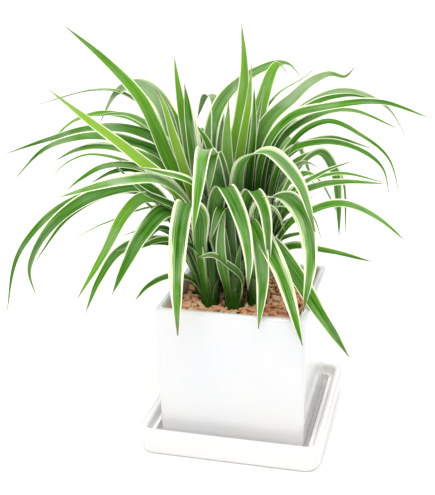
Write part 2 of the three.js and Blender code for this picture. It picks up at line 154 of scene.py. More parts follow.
# %% [markdown]
# ## Floor
# The plant stands on a plain white table top. A sweep that curves up behind it would make a backdrop too,
# but this camera looks down, so a flat plane that reaches far enough is the whole background.

# %% Floor
FLOOR_SIZE = 12000
FLOOR_COLOUR = (0.97, 0.97, 0.97, 1)
FLOOR_ROUGHNESS = 0.9

bpy.ops.mesh.primitive_plane_add(size=FLOOR_SIZE * MM)
floor = bpy.context.object
floor.name = "floor"
floor_finish = bpy.data.materials.new("pale_floor")
floor_finish.use_nodes = True
floor_shader = floor_finish.node_tree.nodes["Principled BSDF"]
floor_shader.inputs["Base Color"].default_value = FLOOR_COLOUR
floor_shader.inputs["Roughness"].default_value = FLOOR_ROUGHNESS
floor.data.materials.append(floor_finish)
print("a floor of", FLOOR_SIZE * MM, "m")

# %% [markdown]
# ## Surfaces from arrays
# Every piece below is a pile of closed rings: a pot is rings of one outline at rising heights, a leaf is
# rings of its thin section along its midline, a chip is a few rings of six points. Modelling tools that
# extrude and bridge edges could make the same, one piece at a time. As arrays, all the leaves take hardly
# longer than one, because the numbers of the faces follow from the counts alone: one function joins
# neighbouring rings with four-sided faces, and another closes an end ring with strips that run from one of
# its sides to the other.

# %% Rings to faces
def ring_faces(rows, size, wrap=False):
    """Point r * size + s is point s of ring r; each face joins it to the next point and the next ring.

    wrap joins the last ring to the first.
    """
    row = np.arange(rows if wrap else rows - 1)[:, None]
    side = np.arange(size)[None, :]
    after = (side + 1) % size
    above = (row + 1) % rows
    faces = np.stack([row * size + side, row * size + after, above * size + after, above * size + side], -1)
    return faces.reshape(-1, 4)


def lid_faces(first, size, facing_on):
    """Strips across a ring of even size whose points start at first. Strip n joins points n and n + 1 to the
    two opposite them, size - 2 - n and size - 1 - n; facing_on turns the strips to face along the pile."""
    near = np.arange(size // 2 - 1)
    far = size - 1 - near
    strips = np.stack([near, near + 1, far - 1, far], -1) + first
    return strips if facing_on else strips[:, ::-1]


def pile_faces(rows, size):
    """Faces of a closed pile of rings: its walls, and a lid at each end."""
    return np.vstack([
        ring_faces(rows, size),
        lid_faces(0, size, False),
        lid_faces((rows - 1) * size, size, True),
    ])


print("a pile of 6 rings of 6 points has", len(pile_faces(6, 6)), "faces")

# %% [markdown]
# ## Meshes from arrays
# Points and faces could be added to a mesh one at a time, which is slow for a million of them. A mesh also
# takes whole arrays, flattened into one long row, and that takes a moment. The same function says which
# solid of the frame the new piece stands for, and what it is made of.

# %% Arrays to pieces
FACE_CORNERS = 4


def make_piece(name, points, faces, material, nodes, vectors=None, smooth=True):
    """Puts points (n, 3) in mm and faces (m, 4) into a new mesh that stands for the named nodes.

    A face is the numbers of its four points. vectors holds point attributes, three numbers for each point,
    which the material reads by name.
    """
    mesh = bpy.data.meshes.new(name)
    mesh.vertices.add(len(points))
    mesh.vertices.foreach_set("co", (points * MM).astype(np.float32).ravel())
    mesh.loops.add(faces.size)
    mesh.loops.foreach_set("vertex_index", faces.astype(np.int32).ravel())
    mesh.polygons.add(len(faces))
    mesh.polygons.foreach_set("loop_start", np.arange(0, faces.size, FACE_CORNERS, dtype=np.int32))
    mesh.polygons.foreach_set("use_smooth", np.full(len(faces), smooth))
    mesh.update(calc_edges=True)
    for label, values in (vectors or {}).items():
        layer = mesh.attributes.new(label, "FLOAT_VECTOR", "POINT")
        layer.data.foreach_set("vector", values.astype(np.float32).ravel())
    mesh.materials.append(material)
    piece = bpy.data.objects.new(name, mesh)
    bpy.context.collection.objects.link(piece)
    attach(piece, "root")
    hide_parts(*nodes)
    print(name, "has", 2 * len(faces), "triangles")


print("pieces have faces of", FACE_CORNERS, "corners")

# %% [markdown]
# ## Building materials
# A material is a small graph of nodes. It could be wired by hand in the shader editor, where a long graph
# soon gets hard to follow. These helpers add one node each and wire it at once, so that a finish further
# down reads like a recipe: a socket is either given a value or fed by another node.

# %% Numbers and colours
# A Mix node has sockets for each kind of data. These are the numbers of its colour sockets.
MIX_FIRST = 6
MIX_SECOND = 7
MIX_RESULT = 2


def new_material(name):
    """A material with its Principled shader, and the tree that the helpers below add to."""
    material = bpy.data.materials.new(name)
    material.use_nodes = True
    return material, material.node_tree, material.node_tree.nodes["Principled BSDF"]


def feed(tree, socket, value):
    """Links a socket to another node's output, or sets it to a plain value."""
    if isinstance(value, bpy.types.NodeSocket):
        tree.links.new(value, socket)
    else:
        socket.default_value = value


def set_finish(shader, finish):
    """Sets the shader's sockets to the plain values of a finish, each by its label."""
    for label, value in finish.items():
        shader.inputs[label].default_value = value


def maths(tree, operation, first, second=0.0):
    """One sum on two numbers, such as ADD or MULTIPLY."""
    node = tree.nodes.new("ShaderNodeMath")
    node.operation = operation
    feed(tree, node.inputs[0], first)
    feed(tree, node.inputs[1], second)
    return node.outputs[0]


def ramp(tree, value, low, high, to_low=0.0, to_high=1.0):
    """A soft step: to_low below low, to_high above high, and an S curve between them."""
    node = tree.nodes.new("ShaderNodeMapRange")
    node.interpolation_type = "SMOOTHSTEP"
    settings = {"Value": value, "From Min": low, "From Max": high, "To Min": to_low, "To Max": to_high}
    for label, number in settings.items():
        feed(tree, node.inputs[label], number)
    return node.outputs["Result"]


def blend(tree, share, first, second):
    """A colour between first and second."""
    node = tree.nodes.new("ShaderNodeMix")
    node.data_type = "RGBA"
    feed(tree, node.inputs["Factor"], share)
    feed(tree, node.inputs[MIX_FIRST], first)
    feed(tree, node.inputs[MIX_SECOND], second)
    return node.outputs[MIX_RESULT]


print("helpers for numbers and colours are ready")

# %% [markdown]
# ## Patterns and relief
# A pattern needs a place to be read from. Camera or window coordinates would make it slide as the view
# turns, so the glaze, the soil and the chips read the place on the piece itself, and the leaves read point
# attributes, which say where a point lies on its blade. Fine relief is a bump: it only tilts the light,
# which is enough for pits of a tenth of a millimetre, while every larger shape is in the mesh.

# %% Places, noise and relief
def noise(tree, place, scale, detail=2.0):
    """Cloudy noise between 0 and 1 at a place; scale is how many clouds fit into one unit of the place."""
    node = tree.nodes.new("ShaderNodeTexNoise")
    feed(tree, node.inputs["Vector"], place)
    feed(tree, node.inputs["Scale"], scale)
    feed(tree, node.inputs["Detail"], detail)
    return node.outputs["Fac"]


def place_from(tree, x, y, z):
    """A place made of three numbers."""
    node = tree.nodes.new("ShaderNodeCombineXYZ")
    feed(tree, node.inputs[0], x)
    feed(tree, node.inputs[1], y)
    feed(tree, node.inputs[2], z)
    return node.outputs[0]


def parts_of(tree, vector):
    """The three numbers of a place."""
    split = tree.nodes.new("ShaderNodeSeparateXYZ")
    tree.links.new(vector, split.inputs[0])
    return split.outputs[0], split.outputs[1], split.outputs[2]


def read_vector(tree, label):
    """The three numbers of a point attribute."""
    source = tree.nodes.new("ShaderNodeAttribute")
    source.attribute_name = label
    return parts_of(tree, source.outputs["Vector"])


def bump(tree, shader, height, distance, strength=1.0):
    """Relief on the surface, its full height given in millimetres."""
    node = tree.nodes.new("ShaderNodeBump")
    feed(tree, node.inputs["Height"], height)
    node.inputs["Distance"].default_value = distance * MM
    node.inputs["Strength"].default_value = strength
    tree.links.new(node.outputs[0], shader.inputs["Normal"])


def object_place(tree):
    """The place of a point on its piece, in metres, the same in every pose."""
    return tree.nodes.new("ShaderNodeTexCoord").outputs["Object"]


print("helpers for places, noise and relief are ready")

# %% [markdown]
# ## White glaze
# Glazed stoneware is not a flat white: where the glaze is thin it is a little warmer, where it ran together
# a little cooler, and its skin has faint waves that bend the highlights. One smooth white would look like
# plastic. So slow noises drift the tint, the gloss and the waves, and quick ones set a few darker specks
# and very fine pits. A thin clear coat over it all gives the sharp gleam of glass.

# %% Glaze
POT_THICK = (0.775, 0.78, 0.79, 1)
POT_THIN = (0.795, 0.79, 0.785, 1)
SAUCER_THICK = (0.835, 0.83, 0.81, 1)
SAUCER_THIN = (0.84, 0.83, 0.805, 1)
GLAZE_SPECK = (0.62, 0.57, 0.5, 1)
GLAZE_CLOUDS = {  # clouds to the metre, and how much finer detail they have
    "tint": (14.0, 3.0),
    "specks": (900.0, 1.0),
    "gloss": (40.0, 4.0),
    "waves": (26.0, 2.0),
    "pits": (420.0, 2.0),
}
GLAZE_GLOSS = (0.1, 0.2)  # least and most roughness
GLAZE_RELIEF = 0.35  # height of the waves
GLAZE_COAT = {"Coat Weight": 0.4, "Coat Roughness": 0.06}


def glaze_material(name, thick, thin):
    """White glaze whose tint drifts between thick and thin, with slow waves and fine pits in its skin."""
    material, tree, shader = new_material(name)
    place = object_place(tree)
    clouds = {use: noise(tree, place, *cloud) for use, cloud in GLAZE_CLOUDS.items()}
    tint = blend(tree, ramp(tree, clouds["tint"], 0.35, 0.65), thick, thin)
    specks = maths(tree, "MULTIPLY", ramp(tree, clouds["specks"], 0.76, 0.82), 0.2)
    feed(tree, shader.inputs["Base Color"], blend(tree, specks, tint, GLAZE_SPECK))
    feed(tree, shader.inputs["Roughness"], ramp(tree, clouds["gloss"], 0.3, 0.7, *GLAZE_GLOSS))
    pits = maths(tree, "MULTIPLY", clouds["pits"], 0.08)
    bump(tree, shader, maths(tree, "ADD", clouds["waves"], pits), GLAZE_RELIEF, 0.5)
    set_finish(shader, GLAZE_COAT)
    return material


pot_glaze = glaze_material("white_glaze", POT_THICK, POT_THIN)
saucer_glaze = glaze_material("warm_white_glaze", SAUCER_THICK, SAUCER_THIN)
print("glaze for the pot and the saucer")

# %% [markdown]
# ## The profile of a square vessel
# A potter turns a round vessel on a wheel, from one profile. A square pot and its saucer can be made much the
# same way. A box with bevelled edges would do for one of them, but its bevels can't have their own size at
# the rim, the foot and the upright corners. So the profile is a list of rows, each a half width, a height
# and a corner radius. Its rounded edges are arcs, and the long straights between them are divided.

# %% Profile
HOLLOW_CORNER = 2.5  # the sharpest upright corner anywhere


def arc_rows(half, height, corner, radius, start, stop, steps=7):
    """Rows round an arc from start to stop degrees: half width and height are its middle plus radius times
    the cosine and the sine of the angle, and the corner radius grows and shrinks with the half width."""
    angle = np.radians(np.linspace(start, stop, steps))
    out = radius * np.cos(angle)
    rows = [half + out, height + radius * np.sin(angle), np.maximum(HOLLOW_CORNER, corner + out)]
    return np.stack(rows, -1)


def straight_rows(first, last, steps):
    """Rows between two rows: the first plus even shares of the difference, without the two themselves."""
    share = np.linspace(0, 1, steps + 2)[1:-1, None]
    return first + (last - first) * share


def with_straights(parts, steps=10):
    """Joins stretches of a profile and divides the long straights between them."""
    rows = [parts[0]]
    for part in parts[1:]:
        rows += [straight_rows(rows[-1][-1], part[0], steps), part]
    return np.vstack(rows)


print("an arc has", len(arc_rows(60, 100, 5, 3, 0, 90)), "rows")

# %% [markdown]
# ## Square rings
# Both vessels are square with rounded upright corners, so one outline serves at every height: four quarter
# circles joined by straight sides. Because clay is pressed in a mould and dried, its walls are never quite
# flat. A displacement texture could bend them, but three slow waves worked out in place are enough: a swell
# of a few tenths of a millimetre lets the highlight wander.

# %% Rings of a square vessel
def square_rings(rows, arc_steps=10, side_steps=14):
    """Each row becomes a ring: a quarter circle of its corner radius about the middle of each corner, and
    between two of them the straight side, divided evenly."""
    half, height, corner = (column[:, None] for column in rows.T)
    rings = []
    for quarter in range(4):
        angle = np.radians(np.linspace(90 * quarter, 90 * quarter + 90, arc_steps + 1))[None, :]
        middle = np.radians(45 + 90 * quarter)
        across = np.sign(np.cos(middle)) * (half - corner) + corner * np.cos(angle)
        deep = np.sign(np.sin(middle)) * (half - corner) + corner * np.sin(angle)
        turn = np.radians(90 * quarter + 90)
        share = np.linspace(0, 1, side_steps + 2)[None, 1:-1]
        reach = (half - corner) * (1 - 2 * share)
        side_across = half * np.cos(turn) + reach * np.sin(turn)
        side_deep = half * np.sin(turn) - reach * np.cos(turn)
        rings += [np.stack([across, deep], -1), np.stack([side_across, side_deep], -1)]
    flat = np.concatenate(rings, 1)
    tall = np.broadcast_to(height[:, :, None], flat.shape[:2] + (1,))
    return np.concatenate([flat, tall], -1)


def settle_clay(rings, depth, low, high):
    """Moves walls towards the middle by up to about depth, and by nothing at the foot: the swell is a product
    of one wave in each direction, plus half as much of a slanting wave."""
    x, y, z = rings[..., 0], rings[..., 1], rings[..., 2]
    swell = np.sin(x / 31 + 0.7) * np.cos(y / 27 - 0.4) * np.sin(z / 43 + 0.5)
    swell += 0.5 * np.sin((x - y) / 19 + z / 23)
    fade = np.clip((z - low) / (high - low), 0, 1) ** 0.5
    away = rings[..., :2] / np.linalg.norm(rings[..., :2], axis=-1, keepdims=True)
    moved = rings.copy()
    moved[..., :2] -= away * (depth * fade * (0.5 + 0.5 * swell))[..., None]
    return moved


print("a ring has", square_rings(arc_rows(60, 100, 5, 3, 0, 90)).shape[1], "points")

# %% [markdown]
# ## Pot
# A square planter of white glazed clay, a little narrower at its foot, with a thick floor and a drainage
# hole. It could be a solid with a hollow cut out of it, but a cut leaves long thin faces that glaze shades
# badly. Here the profile runs down through the hole, out to the foot, up the wall, over the rim, down the
# inside and back to the hole, so it closes on itself and every edge has its own roundness.

# %% Pot
pot_low, pot_high = box_mm("pot")
POT_TAPER = 1  # how much narrower the foot is than the rim, on each side
POT_FOOT_HALF = pot_high[0] - POT_TAPER
POT_WALL = 6.5
POT_FLOOR = 8
POT_CORNER = 5
POT_ROUND = 3
POT_FILLET = 6
POT_SWELL = 0.35
DRAIN_HALF = 9
DRAIN_CORNER = 8  # nearly the half width, so the hole is nearly round


def glazed_pot():
    """Foot, outer wall, rim, inner wall, floor and drainage hole: a profile that closes on itself."""
    foot, top = pot_low[2], pot_high[2]
    inner_top = pot_high[0] - POT_WALL
    inner_foot = POT_FOOT_HALF - POT_WALL
    hollow = foot + POT_FLOOR
    edge = POT_ROUND
    drain = np.array([[DRAIN_HALF, foot, DRAIN_CORNER]])
    profile = with_straights([
        drain,
        arc_rows(POT_FOOT_HALF - edge, foot + edge, POT_CORNER - edge, edge, -90, 0),
        arc_rows(pot_high[0] - edge, top - edge, POT_CORNER - edge, edge, 0, 90),
        arc_rows(inner_top + edge, top - edge, HOLLOW_CORNER + edge, edge, 90, 180),
        arc_rows(inner_foot - POT_FILLET, hollow + POT_FILLET, HOLLOW_CORNER, POT_FILLET, 0, -90),
        drain + [0, POT_FLOOR, 0],
    ])
    rings = settle_clay(square_rings(profile), POT_SWELL, foot, top)
    faces = ring_faces(len(rings), rings.shape[1], wrap=True)
    make_piece("glazed_pot", rings.reshape(-1, 3), faces, pot_glaze, ["pot"])


glazed_pot()
print("the pot stands", round(pot_low[2], 1), "to", round(pot_high[2], 1), "mm above the ground")

# %% [markdown]
# ## Saucer
# The saucer catches the water that drains from the pot: a low tray of the same clay, with a broad rim, a
# narrow ledge inside it and a raised floor. It is made as the pot is, from one profile, but it is closed by
# a lid at each end, since it has no hole.

# %% Saucer
saucer_high = box_mm("saucer")[1]
SAUCER_TAPER = 2
SAUCER_FOOT_HALF = saucer_high[0] - SAUCER_TAPER
SAUCER_FLOOR = 11
SAUCER_RIM = 8
SAUCER_LEDGE = 3.5
SAUCER_LEDGE_HEIGHT = 16
SAUCER_CORNER = 13
SAUCER_ROUND = 3.5
SAUCER_SLOPE = 1.5
SAUCER_SWELL = 0.3
LEDGE_ROUND = 1


def glazed_saucer():
    """Foot, outer wall, rim, inner wall, ledge and floor, closed by a lid at each end."""
    height = saucer_high[2]
    rim_inner = saucer_high[0] - SAUCER_RIM
    rim_corner = SAUCER_CORNER - SAUCER_RIM
    ledge_outer = rim_inner - SAUCER_SLOPE
    ledge_inner = ledge_outer - SAUCER_LEDGE
    ledge_edge = SAUCER_LEDGE_HEIGHT - LEDGE_ROUND
    edge = SAUCER_ROUND
    profile = with_straights([
        arc_rows(SAUCER_FOOT_HALF - edge, edge, SAUCER_CORNER - edge, edge, -90, 0),
        arc_rows(saucer_high[0] - edge, height - edge, SAUCER_CORNER - edge, edge, 0, 90),
        arc_rows(rim_inner + edge, height - edge, rim_corner + edge, edge, 90, 180),
        np.array([[ledge_outer, SAUCER_LEDGE_HEIGHT, rim_corner]]),
        arc_rows(ledge_inner + LEDGE_ROUND, ledge_edge, rim_corner, LEDGE_ROUND, 90, 180),
        np.array([[ledge_inner - SAUCER_SLOPE, SAUCER_FLOOR, rim_corner]]),
    ], steps=5)
    rings = settle_clay(square_rings(profile), SAUCER_SWELL, 0, height)
    faces = pile_faces(len(rings), rings.shape[1])
    make_piece("glazed_saucer", rings.reshape(-1, 3), faces, saucer_glaze, ["saucer"])


glazed_saucer()
print("the saucer is", round(2 * saucer_high[0]), "mm square and", round(saucer_high[2]), "mm high")

# %% [markdown]
# ## Potting soil
# Potting soil is peat: nearly black, with some brown fibres and a little pale grit. Crumbs could be poured
# in as loose grains, but the soil only shows as a dark ground between the chips. So it is one closed block:
# three rings that follow the pot's hollow, and a top of rings that shrink towards the middle and rise and
# fall in lumps.

# %% Soil
SOIL_GRIT = 0.9  # half the height of the lumps
SOIL_TOP_RINGS = 50
PEAT = (0.018, 0.011, 0.007, 1)
PEAT_FIBRE = (0.07, 0.038, 0.02, 1)
PALE_GRIT = (0.3, 0.26, 0.2, 1)
PEAT_CLOUDS = {"crumbs": (350.0, 6.0), "fibres": (160.0, 4.0), "grit": (800.0, 1.0)}
PEAT_RELIEF = 1.2
soil_low, soil_high = box_mm("potting_soil")


def soil_material():
    """Dark peat with brown fibres and pale grit."""
    material, tree, shader = new_material("peat")
    place = object_place(tree)
    clouds = {use: noise(tree, place, *cloud) for use, cloud in PEAT_CLOUDS.items()}
    tint = blend(tree, ramp(tree, clouds["fibres"], 0.5, 0.62), PEAT, PEAT_FIBRE)
    gritty = blend(tree, ramp(tree, clouds["grit"], 0.72, 0.76), tint, PALE_GRIT)
    feed(tree, shader.inputs["Base Color"], gritty)
    bump(tree, shader, clouds["crumbs"], PEAT_RELIEF)
    set_finish(shader, {"Roughness": 0.95})
    return material


def crumbly_soil():
    """Rings up the wall of the hollow, then rings that shrink across the top, whose height is lowered by
    coarse and fine lumps: products of waves that are themselves bent by waves."""
    half, foot, corner = soil_high[0], soil_low[2], HOLLOW_CORNER
    # The hollow is rounded at its foot, and its wall leans out a little.
    wall = np.array([[half - 7, foot, corner], [half - 1.5, foot + 3, corner], [half - 0.8, 60, corner]])
    share = np.linspace(0.997, 0.03, SOIL_TOP_RINGS)
    top = np.stack([half * share, np.full(len(share), soil_high[2]), corner * share], -1)
    rings = square_rings(np.vstack([wall, top]), arc_steps=4, side_steps=40)
    x, y = rings[len(wall):, :, 0], rings[len(wall):, :, 1]
    lumps = np.sin(x / 2.9 + 1.3 * np.sin(y / 4.1)) * np.cos(y / 3.3 + np.sin(x / 5.2))
    lumps += 0.6 * np.sin(x / 1.3 + 2 * np.cos(y / 1.9)) * np.cos(y / 1.1)
    rings[len(wall):, :, 2] += SOIL_GRIT * (lumps - 1)
    faces = pile_faces(len(rings), rings.shape[1])
    make_piece("crumbly_soil", rings.reshape(-1, 3), faces, soil_material(), ["potting_soil"])


crumbly_soil()
print("the soil reaches", round(soil_high[2], 1), "mm above the ground")

# %% [markdown]
# ## Places for the clay chips
# The soil is covered with broken, fired clay in chips the size of a fingernail. They could be dropped in by
# a simulation, which is slow and never falls the same way twice. A square pattern for each of three layers,
# with every place moved a little by chance, looks as loose. Three layers also leave dark gaps between the
# chips, which a flat bed with painted chips would not have. No chip may stand in a shoot.

# %% Chip places
CHIP_LAYERS = ((114.0, 20), (116.6, 19), (119.3, 17))  # height of a layer, chips along each side
CHIP_INSET = 2  # how far the pattern keeps off the edge of the bed
CHIP_JITTER = 0.4  # how far a chip strays along the ground, as a share of the pattern's pitch
CHIP_RISE = 0.8  # how far it strays up or down, in millimetres
CROWN_CLEAR = 9.5
CLUMP_TURN = np.radians(15)  # the clump stands turned in its pot


def clump_to_pot(points):
    """Turns points of the clump's frame into the pot's frame: x becomes x times the cosine less y times the
    sine, and y becomes x times the sine plus y times the cosine."""
    turned = np.array(points, float)
    x, y = turned[..., 0].copy(), turned[..., 1].copy()
    turned[..., 0] = x * np.cos(CLUMP_TURN) - y * np.sin(CLUMP_TURN)
    turned[..., 1] = x * np.sin(CLUMP_TURN) + y * np.cos(CLUMP_TURN)
    return turned


def chip_places(random, clear_of):
    """A jittered square pattern for each layer, without the places that lie nearer than CROWN_CLEAR to one
    of the points that it keeps clear of."""
    reach = box_mm("clay_chips")[1][0] - CHIP_INSET
    places = []
    for height, count in CHIP_LAYERS:
        pitch = 2 * reach / count
        line = (np.arange(count) + 0.5) * pitch - reach
        x, y = (side.ravel() for side in np.meshgrid(line, line))
        jitter = random.uniform(-CHIP_JITTER, CHIP_JITTER, (len(x), 2)) * pitch
        rise = random.uniform(-CHIP_RISE, CHIP_RISE, len(x))
        places.append(np.stack([x + jitter[:, 0], y + jitter[:, 1], height + rise], -1))
    places = np.vstack(places)
    distance = np.linalg.norm(places[:, None, :2] - clear_of[None, :, :2], axis=-1).min(1)
    return places[distance > CROWN_CLEAR]


print("the chips lie in", len(CHIP_LAYERS), "layers")

# %% [markdown]
# ## Fired clay
# Fired clay without a glaze is dull and porous, and no two chips have quite the same red. One colour for
# all of them would melt into a single brown patch. So each chip carries two numbers of its own, for its
# tint and for how dusty it is, and noise puts the dust on it and paints shade into its pores.

# %% Chip material
RED_CLAY = (1.0, 0.42, 0.23, 1)
PALE_CLAY = (1.0, 0.7, 0.46, 1)
CLAY_DUST = (1.0, 0.76, 0.54, 1)
# painted shade: the dark of the pores, where light does not reach
PORE_SHADE = (0.17, 0.06, 0.035, 1)
CLAY_CLOUDS = {"grain": (700.0, 4.0), "dust": (240.0, 3.0)}
CLAY_RELIEF = 0.5


def chip_material():
    """Clay whose tint changes from chip to chip, dusty in patches, with painted shade in its pores."""
    material, tree, shader = new_material("fired_clay")
    tone, dust, _ = read_vector(tree, "chip_look")  # the third number has no use
    place = object_place(tree)
    clay = blend(tree, tone, RED_CLAY, PALE_CLAY)
    clouds = {use: noise(tree, place, *cloud) for use, cloud in CLAY_CLOUDS.items()}
    dusty = maths(tree, "MULTIPLY", ramp(tree, clouds["dust"], 0.45, 0.7), dust)
    powdered = blend(tree, dusty, clay, CLAY_DUST)
    # painted shade in the pores, where the grain's relief is lowest
    pore_shade = ramp(tree, clouds["grain"], 0.3, 0.42, 0.35, 0.0)
    feed(tree, shader.inputs["Base Color"], blend(tree, pore_shade, powdered, PORE_SHADE))
    bump(tree, shader, clouds["grain"], CLAY_RELIEF)
    set_finish(shader, {"Roughness": 0.9})
    return material


fired_clay = chip_material()
print("the clay has", len(fired_clay.node_tree.nodes), "nodes")

# %% [markdown]
# ## Loose chips
# One chip is a short pile of six-sided rings, blunt at both ends, whose corners are pushed in and out at
# random. A broken stone could also be a ball cut by planes, but a ball breaks into lumps, and these are
# splinters. All chips are made in one go: the arrays have one more axis, the chip's number, and each chip
# has its own size, turn and place. Shading stays flat, so the broken edges stay sharp.

# %% Chips
CHIP_SEED = 21
CHIP_LENGTH = (6.5, 10.5)
CHIP_WIDTH = (3.4, 4.8)
CHIP_HEIGHT = (2.2, 3.3)
CHIP_TILT = 34
CHIP_RINGS = (-1, -0.82, -0.15, 0.5, 0.9, 1.0)  # places of the rings along half the length
CHIP_GIRTHS = (0.5, 0.86, 1.0, 0.95, 0.75, 0.4)  # their sizes as a share of the full section
CHIP_ROUGHNESS = (0.72, 1.12)  # how far a corner is pushed in or out, as a share of its distance
CHIP_SHIFT = 0.12  # how far it is pushed along the chip, as a share of half the length


def spin(angle, axis):
    """Turning matrices about one of the three axes, one for each angle: the cosine twice on the diagonal,
    and the sine and its opposite beside it."""
    cos, sin = np.cos(angle), np.sin(angle)
    first, second = [number for number in range(3) if number != axis]
    matrix = np.zeros(angle.shape + (3, 3))
    matrix[..., axis, axis] = 1
    matrix[..., first, first] = cos
    matrix[..., second, second] = cos
    matrix[..., first, second] = -sin
    matrix[..., second, first] = sin
    return matrix


def loose_chips(crowns):
    """All chips at once. A corner lies at the cosine and sine of its angle, times the girth of its ring, a
    random roughness, and half the chip's width and height. Then the chip is turned, moved to its place and
    pushed inside the wall."""
    random = np.random.default_rng(CHIP_SEED)
    places = chip_places(random, crowns)
    count = len(places)
    along = np.array(CHIP_RINGS)
    girth = np.array(CHIP_GIRTHS)
    corner = np.radians(np.arange(6) * 60 + 30)
    sizes = (CHIP_LENGTH, CHIP_WIDTH, CHIP_HEIGHT)
    length, width, height = (random.uniform(*size, (count, 1, 1)) for size in sizes)
    rough = random.uniform(*CHIP_ROUGHNESS, (count, len(along), len(corner)))
    chips = np.stack([
        (along[None, :, None] + random.uniform(-CHIP_SHIFT, CHIP_SHIFT, rough.shape)) * length / 2,
        np.cos(corner)[None, None, :] * girth[None, :, None] * rough * width / 2,
        np.sin(corner)[None, None, :] * girth[None, :, None] * rough * height / 2,
    ], -1)
    tilt = np.radians(random.uniform(-CHIP_TILT, CHIP_TILT, (2, count)))
    turn = spin(random.uniform(0, 2 * np.pi, count), 2) @ spin(tilt[0], 1) @ spin(tilt[1], 0)
    chips = np.einsum("nij,nrcj->nrci", turn, chips)
    extent = np.abs(chips[..., :2]).max((1, 2))
    limit = box_mm("clay_chips")[1][0] - extent
    places[:, :2] = np.clip(places[:, :2], -limit, limit)
    chips += places[:, None, None, :]
    size = len(along) * len(corner)
    one = pile_faces(len(along), len(corner))
    faces = (one[None] + np.arange(count)[:, None, None] * size).reshape(-1, 4)
    look = np.repeat(random.uniform(0, 1, (count, 3)), size, axis=0)
    make_piece("loose_clay_chips", chips.reshape(-1, 3), faces, fired_clay, ["clay_chips"],
               {"chip_look": look}, smooth=False)
    print(count, "chips lie on the soil")


print("a chip has", len(CHIP_RINGS), "rings")

# %% [markdown]
# ## The leaves, one row each
# A spider plant is a few rosettes pushed together in one pot. A rule of growth could scatter its leaves by
# chance, but then none of them would lie where this plant has it. So each leaf is described as a gardener
# would see it: how wide it is, how far it is turned about its own length, how it is coloured, and the places
# that it passes on its way from the crown to its tip. The places are the same as in the frame's solids, in
# the clump's own millimetres, so the fine leaves lie exactly where the plain ones do.

